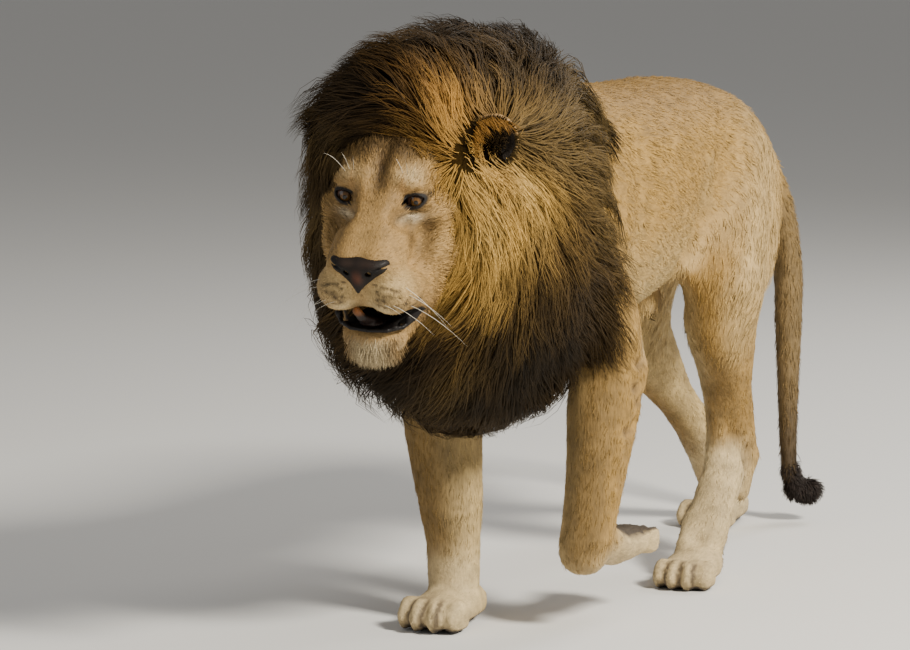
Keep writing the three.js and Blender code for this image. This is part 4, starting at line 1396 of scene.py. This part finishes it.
LIE_DYE = np.array([DYES[row[2]] for row in LIE])


def nearby(points, soft):
    """The share that each place of the table has in points of the mane."""
    p = points - home
    d = ((p[:, None, :] - LIE_AT[None]) ** 2).sum(2)
    w = 1 / (d + soft**2) ** 2
    return w / w.sum(1, keepdims=True)


waves = chance.normal(0, 1, (9, 3)) * chance.uniform(5, 13, (9, 1))
phases, sways = chance.uniform(0, 6.3, 9), chance.normal(0, 0.17, (9, 3))


def comb_at(points):
    """The lie of the hair, with the slow tumble of hair that wind has parted."""
    return unit(nearby(points, 0.045) @ LIE_RUN + np.sin((points - home) @ waves.T + phases) @ sways)


def dye_at(points):
    return nearby(points, 0.025) @ LIE_DYE


def on_grid(clay, field_of):
    """A measure of places, taken at every cell of a block."""
    axes = (clay.low[k] + clay.grain * np.arange(clay.shape[k]) for k in range(3))
    grid = np.stack([g.ravel() for g in np.meshgrid(*axes, indexing="ij")], 1)
    measured = np.concatenate([field_of(b) for b in np.array_split(grid, 12)])
    return measured.reshape(clay.shape).astype(np.float32)


def outside_of(clay, points):
    """Distance to a clay form, safe also beyond the clay's own block."""
    span = (np.array(clay.shape) - 1) * clay.grain
    beyond = np.maximum(np.maximum(clay.low - points, points - clay.low - span), 0)
    return clay.sample(points) + np.linalg.norm(beyond, axis=1)


def in_ear(points, more=0.0):
    """Negative inside the hollow of either ear, which the hair leaves clear."""
    q = to_head(points)
    away = []
    for s in (1, -1):
        hollow = np.array((0.036, 0.045, 0.038)) * (1.0 if s > 0 else 0.75) + more
        r = (q - (s * 0.176, 0.120, 0.070)) / hollow
        away.append((np.linalg.norm(r, axis=1) - 1) * hollow[0])
    return np.minimum(*away)


def kept_clear(points):
    """Positive where no underhair may lie: before the hairline, and round the ears."""
    q = to_head(points)
    face = np.where(np.abs(q[:, 0]) < 0.15, 0.016 - hairline(q), -1.0)
    return np.maximum(face, -in_ear(points, 0.010))


# a felt of underhair fills the mane: the outline is shaved back, which leaves no thin parts, and
# grown again a little; the hair grows from this felt and from the flesh beside it
ground = outline.twin()
ground.field = outline.field + FELT_SHAVED
ground.renew()
ground.field -= FELT_REGROWN
ground.field = np.maximum(ground.field, on_grid(ground, kept_clear))
core_points, core_faces = ground.surface(0.3)
ground.press(
    Clay.ALL,
    on_grid(ground, lambda p: np.minimum(outside_of(body, p), outside_of(head, to_head(p)))),
)
mane_core = make_object("mane_underhair", core_points, core_faces)
felt = hair_sheen("underhair", 0.9, specular=0.0)
mane_core.data.materials.append(felt)
core_at = read_points(mane_core)[0]
# the felt is painted near black, as the shade deep in the mane, and blacker still round the ears as painted
# shade there
light = 0.01 + 0.06 * ramp(in_ear(core_at), 0.012, 0.040)
paint(mane_core, dye_at(core_at) * light[:, None] + 0.001)
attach(mane_core, "root")
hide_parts("mane")


def grow(roots, normals, length, start_lift, tip_depth):
    """Hairs that follow the comb, rise to their own depth under the mane's outline and lie there."""
    steps, bend, give, stray_by = 10, 0.4, 0.02, 0.20
    count = len(roots)
    paths = np.empty((count, steps + 1, 3))
    paths[:, 0] = roots - normals * 0.003
    step = (length / steps)[:, None]
    heading = unit(normals * start_lift[:, None] + comb_at(roots))
    stray = chance.normal(0, 1, (count, 3))
    p = roots.copy()
    d0 = outline.sample(p)
    for k in range(steps):
        t = (k + 1) / steps
        d, g = outline.sample(p), outline.slope(p)
        want = d0 + (-tip_depth - d0) * (1 - (1 - t) ** 1.6)
        push = np.clip((want - d) / give, -1.3, 1.3)[:, None] * g
        under = ground.sample(p)
        lift = np.clip((0.004 - under) / 0.006, 0, 2.0)[:, None] * ground.slope(p)
        aim = unit(comb_at(p) + 0.9 * push + lift + stray_by * stray)
        heading = unit(heading * (1 - bend) + aim * bend) if k else heading
        p = p + heading * step
        paths[:, k + 1] = p
    return paths


def trim(paths, limit, rings):
    """Cuts each hair where it would leave the outline or cross an ear, and spaces its points again."""
    count, steps, _ = paths.shape
    flat_points = paths.reshape(-1, 3)
    depth = outline.sample(flat_points).reshape(count, steps)
    outside = (depth > limit[:, None]) | (in_ear(flat_points).reshape(count, steps) < 0)
    first = outside[:, 0] | outside[:, 1]
    outside[:, :2] = False
    end = np.where(outside.any(1), outside.argmax(1) - 0.3, steps - 1).astype(float)
    t = np.linspace(0, 1, rings + 1)[None] * end[:, None]
    i = np.minimum(t.astype(int), steps - 2)
    f = (t - i)[..., None]
    rows = np.arange(count)[:, None]
    return paths[rows, i] * (1 - f) + paths[rows, i + 1] * f, end / (steps - 1), first


def gather(paths, guides, pull):
    """Hairs close up on the nearest guide towards their tips, so that they hang in locks."""
    pick = []
    for block in np.array_split(np.arange(len(paths)), max(1, len(paths) // 2000)):
        d = ((paths[block, None, 0] - guides[None, :, 0]) ** 2).sum(2)
        d += 0.4 * ((paths[block, None, 5] - guides[None, :, 5]) ** 2).sum(2)
        pick.append(d.argmin(1))
    pick = np.concatenate(pick)
    t = np.linspace(0, 1, paths.shape[1])[None, :, None]
    return paths + (guides[pick] - paths) * pull[:, None, None] * t**1.5, pick


mane_hair = hair_sheen("mane_hair", 0.55)
points, faces = ground.surface(0.2)
# the hair grows thickest at the temple
temple = at_home(0.150, -0.890, 0.955)
p, n = scatter(
    points, ground.slope(points), faces, int(HAIRS * 2.4),
    lambda p: 1 + 3 * near(p, temple, (0.05, 0.06, 0.05)),
)
q = to_head(p)
behind = hairline(q)
on_face = (outside_of(head, q) < 0.008) & (np.abs(q[:, 1]) < 0.2)
cup = in_ear(p) < 0.0
keep = (mane_form.sample(p) < -0.003) | (outline.sample(p) < -0.034)
keep |= on_face & (behind > 0) & (q[:, 1] < 0.17)
in_mouth = (np.abs(q[:, 0]) < 0.076) & (np.abs(q[:, 2] + 0.200) < 0.034) & (q[:, 1] < 0.06)
keep &= ~cup & ~in_mouth & (outline.sample(p) < 0.002)
p, n, behind, on_face = (rows[keep][:HAIRS] for rows in (p, n, behind, on_face))
model = p - home
depth = -outline.sample(p)
length = 0.135 + 0.070 * ramp(-model[:, 2], -0.92, -0.62)
short = on_face & (behind < 0.10)
length = np.where(short, 0.040 + 0.105 * ramp(behind, 0.0, 0.05), length)
length = length * chance.uniform(0.7, 1.15, len(p))
length *= 1 - 0.5 * ramp(model[:, 1], -0.46, -0.30)
outer, deeper = chance.uniform(-0.013, 0.002, len(p)), chance.uniform(-0.006, 0.028, len(p))
tip_depth = np.where(depth < 0.02, outer, deeper)
# wind lifts the tips over the crown, under the chin, at the left shoulder and the right throat
blown = 0.7 * near(model, (-0.09, -0.93, 1.07), (0.16, 0.17, 0.12))
blown = blown + 1.6 * near(model, (-0.05, -0.92, 0.57), (0.17, 0.16, 0.12))
shoulder = 1.2 * near(model, (0.20, -0.48, 0.62), (0.09, 0.15, 0.26))
blown += shoulder + 0.8 * near(model, (-0.10, -0.92, 0.66), (0.12, 0.14, 0.12))
tip_depth -= 0.045 * blown
length += 0.055 * blown
paths = grow(p, n, length, chance.uniform(0.3, 0.8, len(p)), tip_depth)
guides = paths[chance.permutation(len(p))[: max(200, len(p) // 20)]]
paths, pick = gather(paths, guides, chance.uniform(0.35, 0.92, len(p)))
# each lock waves in its own way, more towards its tip
t = np.linspace(0, 1, paths.shape[1])[None]
run = unit(paths[:, -1] - paths[:, 0])
across = unit(np.cross(run, (0.3, 0.5, 0.8)))
turn = 2 * math.pi * t * (length / chance.uniform(0.11, 0.19, len(p)))[:, None]
turn += chance.uniform(0, 6.3, len(guides))[pick][:, None] + chance.normal(0, 0.5, len(p))[:, None]
size = chance.uniform(0.003, 0.011, len(guides))[pick][:, None] * t
size = size * (0.3 + 0.7 * ramp(length, 0.05, 0.14))[:, None]
paths += across[:, None] * (size * np.sin(turn))[..., None]
paths += np.cross(run, across)[:, None] * (size * np.cos(turn))[..., None]
ends = chance.uniform(-0.026, 0.018, len(guides))[pick] + chance.uniform(-0.006, 0.006, len(p))
ends = ends + 0.046 * blown
paths, share, lost = trim(paths, ends, 5)
lock_tone = chance.normal(1.0, 0.20, len(guides))[pick]
tone = np.clip(lock_tone * chance.normal(1.0, 0.10, len(p)), 0.45, 1.8)[:, None, None]
# a hair takes its colour in part from where it grows and in part from where it lies
here = np.stack([dye_at(paths[:, k]) for k in range(6)], 1)
shades = 0.45 * dye_at(p)[:, None] + 0.55 * here
# each hair is painted darker towards its root, as the shade deep in the mane, and lighter towards its tip
shades = shades * tone * np.array([0.50, 0.75, 0.92, 1.02, 1.10, 1.15])[None, :, None]
width = chance.uniform(0.0016, 0.0034, len(p)) * np.where(short, 0.65, 1.0)
# hairs that are cut too short, or that reach out past the sides of the mount, are left out
ok = ~lost & (share > 0.15) & (np.abs(paths[:, :, 0]).max(1) < FARTHEST_OUT)
away = unit(p - at_home(0, -0.70, 0.82))
nap = outline.slope(paths[:, 3])
shades = np.clip(shades, 0, 1)[ok]
made = strands("mane", paths[ok], width[ok], shades, away[ok], flat=0.6, nap=nap[ok], soft=0.5)
lay_out(made, unrolled(p[ok], ("neck",)))
for piece, *_ in made:
    piece.data.materials.append(mane_hair)
    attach(piece, "root")

# ---- Tail tuft ----------------------------------------------------------------------------------
# A brush of near-black hair on the end of the tail, which curls out and back at its tip. It is a
# small felt core over the end of the tail, with short hairs set in it all round.

TUFT_GRAIN = 0.003
TUFT_HAIRS = 3000
FELT_DEPTH = 0.012

low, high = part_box("tail_tuft")
ball_at = np.array((low + high) / 2)
top = np.array((ball_at[0], ball_at[1], high.z))
knob = Clay(np.array(low) - 0.03, np.array(high) + 0.03, TUFT_GRAIN)
knob.press(*knob.piece(*node_mesh("tail_tuft")))
knob.rub(0.004)
knob.field += FELT_DEPTH
knob.rod(at_home(0.052, 0.835, 0.130), at_home(0.060, 0.848, 0.080), 0.012, 0.014, soft=0.008)
knob.rod(at_home(0.060, 0.848, 0.080), at_home(0.086, 0.868, 0.076), 0.014, 0.019, soft=0.008)
tuft_points, tuft_faces = knob.surface(0.2)
tuft_core = make_object("tail_tuft_felt", tuft_points, tuft_faces)
paint(tuft_core, np.tile(np.array((0.010, 0.008, 0.007)), (len(tuft_core.data.vertices), 1)))
tuft_core.data.materials.append(felt)
p, n = scatter(*mesh_arrays(tuft_core), TUFT_HAIRS)
down = unit(ball_at - top + (0.012, 0.012, -0.02))
run = unit(n * 0.6 + down * 0.7 + chance.normal(0, 0.14, (TUFT_HAIRS, 3)))
length = chance.uniform(0.012, 0.027, TUFT_HAIRS)
t = np.linspace(0, 1, 5)
paths = p[:, None] - n[:, None] * 0.003 + run[:, None] * (length[:, None] * t)[..., None]
paths += n[:, None] * (0.010 * (t * (1 - t)) * 2)[None, :, None]
tone = chance.uniform(0.6, 1.7, TUFT_HAIRS)[:, None, None]
shades = np.array((0.020, 0.015, 0.013))[None, None] * tone * np.ones((1, 5, 1))
width = chance.uniform(0.0012, 0.0022, TUFT_HAIRS)
made = strands("tail_tuft_hair", paths, width, shades, n, flat=0.7)
around, up = np.arctan2(*(p - ball_at).T[:2]) / 6.3 + 0.5, (p[:, 2] - low.z) / (high.z - low.z)
lay_out(made, np.stack([around, up], 1).clip(0, 1))
tail_hair = hair_sheen("tail_hair", 0.5)
for piece in [tuft_core] + [m[0] for m in made]:
    if not piece.data.materials:
        piece.data.materials.append(tail_hair)
    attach(piece, "root")
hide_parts("tail_tuft")

# ---- Chin tuft, ear fringes, whiskers -----------------------------------------------------------
# Cream hair on the chin, a rusty fringe from the top and inner rim of each ear with dark hair in
# its cup, and stiff white whiskers in the spotted rows of the pads and above the eyes.

CHIN_HAIRS = 2200
EAR_HAIRS = 1150
WHISKER_WIDTH = 0.0007


def small_hairs(name, roots, runs, length, width, colour, droop, material, rings=4):
    """Short loose hairs given by root and direction on the head's own axes."""
    n = len(roots)
    t = np.linspace(0, 1, rings + 1)
    runs = unit(runs)
    paths = roots[:, None] + runs[:, None] * (length[:, None] * t)[..., None]
    paths = paths + np.array(droop)[None, None] * (length[:, None] * t**2)[..., None]
    paths = from_head(paths.reshape(-1, 3)).reshape(n, rings + 1, 3)
    shades = colour[:, None] * np.linspace(0.75, 1.15, rings + 1)[None, :, None]
    side = unit(runs @ TURN.T + np.array((0.3, -0.8, 0.4)))
    made = strands(name, paths, width, np.clip(shades, 0, 1), side, flat=0.8)
    lay_out(made, unrolled(paths[:, 0], ("neck",)))
    for piece, *_ in made:
        piece.data.materials.append(material)
        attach(piece, "root")


def onto_skin(q):
    """Moves places on the head's axes onto its skin."""
    for _ in range(14):
        q = q - head.slope(q) * head.sample(q)[:, None]
    return q


side = chance.normal(0, 0.030, CHIN_HAIRS)
along = chance.uniform(-0.125, -0.03, CHIN_HAIRS)
q = np.stack([side, along, chance.uniform(-0.30, -0.222, CHIN_HAIRS)], 1)
q = onto_skin(q)
q = q[(np.abs(q[:, 0]) < 0.047) & (q[:, 1] < -0.040)]
count = len(q)
g = head.slope(q)
tone = chance.uniform(0.75, 1.15, count)[:, None]
colour = mix((0.46, 0.36, 0.21), (0.20, 0.125, 0.052), ramp(np.abs(q[:, 0]), 0.015, 0.050)) * tone
run = g * 0.45 + np.array((0.0, 0.10, -0.9)) + chance.normal(0, 0.14, (count, 3))
length, width = chance.uniform(0.012, 0.028, count), chance.uniform(0.0009, 0.0016, count)
small_hairs(
    "chin_tuft", q - g * 0.001, run, length, width, colour, (0, 0.15, -0.15), hair_material
)

roots, runs, tones, lengths = [], [], [], []
for s in (1, -1):
    spin = Matrix.Rotation(math.radians(s * 30), 3, "Z") @ Matrix.Rotation(math.radians(-6), 3, "X")
    spin = np.array(spin)
    for _ in range(EAR_HAIRS):
        a = chance.uniform(0, 2 * math.pi)
        inner = max(0.0, 0.75 * math.sin(a) - 0.65 * math.cos(a))
        dip = -0.006 + chance.normal(0, 0.003)
        rim = np.array((s * 0.049 * math.cos(a), dip, 0.048 * math.sin(a)))
        out = np.array((s * math.cos(a), 0, math.sin(a)))
        if chance.random() < 0.60 * inner:
            # long rusty hairs from the inner edge across the opening
            run = np.array((s * 0.55, -0.55, -0.60 * max(0.0, math.sin(a)) - 0.15))
            long, tone = chance.uniform(0.022, 0.042), "rust"
        else:
            # short hairs round the rim, and soft dark ones inside the cup
            deep = chance.random() < 0.45
            rim = rim * (0.9, 1, 0.9) * (chance.uniform(0.3, 0.95) if deep else 1)
            run = out * (-0.3 if deep else 0.65) + np.array((0, -0.5, 0.1))
            long, tone = chance.uniform(0.008, 0.018), "olive"
            if deep:
                rim = rim + (0, 0.012, 0)
                long, tone = chance.uniform(0.014, 0.026), "brown"
        roots.append(spin @ rim + (s * 0.156, 0.150, 0.066))
        runs.append(spin @ run)
        lengths.append(long)
        tones.append(DYES[tone])
roots = np.array(roots)
runs = unit(np.array(runs)) + chance.normal(0, 0.16, (len(runs), 3))
width = chance.uniform(0.0011, 0.0019, len(roots))
colour = np.array(tones) * chance.uniform(0.5, 1.1, len(roots))[:, None]
small_hairs(
    "ear_fringe", roots, runs, np.array(lengths), width, colour, (0, 0, -0.1), mane_hair
)

whisker, _, links, surface, _, colour = painted_material("whisker", 0.3, 0.5)
links.new(colour, surface.inputs["Base Color"])
roots, runs, lengths = [], [], []
for s in (1, -1):
    # one spot in four bears a whisker, and three more stand over each eye
    for x0, y0, z0 in whisker_spots()[3::4]:
        roots.append((s * x0, y0, z0))
        back = (x0 - 0.03) / 0.06
        drop = -0.15 - 0.30 * back + chance.normal(0, 0.12)
        runs.append((s * (0.75 - 0.15 * back), -0.35 + 0.75 * back, drop))
        lengths.append(0.045 + 0.075 * back * chance.uniform(0.7, 1.2))
    for k in range(3):
        roots.append((s * (0.046 + 0.009 * k), -0.030, 0.050 + 0.002 * (k % 2)))
        runs.append((s * (0.16 * k - 0.10), -0.42, 0.85 - 0.10 * k))
        lengths.append(0.070 + 0.016 * (k % 3))
roots = onto_skin(np.array(roots))
roots = roots - head.slope(roots) * 0.002
width, colour = np.full(len(roots), WHISKER_WIDTH), np.tile((0.74, 0.69, 0.58), (len(roots), 1))
small_hairs(
    "whiskers", roots, np.array(runs), np.array(lengths), width, colour, (0.0, 0.10, -0.35),
    whisker, rings=7,
)

# ---- Camera and studio -------------------------------------------------------------------------
# A pale matt floor, a long lens before the animal's left shoulder, a warm high key light on its
# left side, a weak cool fill from the right and a light from behind. None of it is part of the lion.

bpy.ops.object.select_all(action="DESELECT")
bpy.ops.mesh.primitive_plane_add(size=80, location=(0, 0, 0))
floor = bpy.context.object
floor.name = "floor"
floor.select_set(False)
pale = bpy.data.materials.new("pale_floor")
pale.use_nodes = True
pale_surface = pale.node_tree.nodes["Principled BSDF"]
pale_surface.inputs["Base Color"].default_value = (0.72, 0.71, 0.69, 1)
pale_surface.inputs["Roughness"].default_value = 0.9
floor.data.materials.append(pale)
floor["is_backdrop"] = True

camera = bpy.data.objects.new("camera", bpy.data.cameras.new("camera"))
bpy.context.scene.collection.objects.link(camera)
camera.data.lens = 139.65
camera.data.sensor_width = 36
camera.location = HOME + Vector((3.081, -6.470, 1.417))
camera.rotation_euler = (math.radians(90 - 7), 0, math.radians(28))
camera.data.clip_end = 200
bpy.context.scene.camera = camera

world = bpy.data.worlds.new("studio")
world.use_nodes = True
sky = world.node_tree.nodes["Background"]
sky.inputs["Color"].default_value = (0.90, 0.89, 0.87, 1)
sky.inputs["Strength"].default_value = 0.31
bpy.context.scene.world = world


def soft_light(name, at, towards, size, power, tint):
    """A square light of a size in metres and a power in watts, turned towards a place."""
    lamp = bpy.data.lights.new(name, "AREA")
    lamp.size = size
    lamp.energy = power
    lamp.color = tint
    made = bpy.data.objects.new(name, lamp)
    made.location = at
    made.rotation_euler = (Vector(towards) - Vector(at)).to_track_quat("-Z", "Y").to_euler()
    bpy.context.scene.collection.objects.link(made)


soft_light("key", (4.9, -1.5, 4.4), (0, -0.2, 0.6), 1.3, 820, (1.0, 0.95, 0.84))
soft_light("fill", (-3.6, -4.6, 2.2), (0, -0.3, 0.6), 3.0, 40, (0.95, 0.97, 1.0))
soft_light("back", (1.5, 4.6, 4.2), (0, 0.2, 0.7), 2.5, 170, (1.0, 0.97, 0.92))

low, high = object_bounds()
size = {"solids": [list(SOLIDS[0]), list(SOLIDS[1])], "dressed": [list(low), list(high)]}
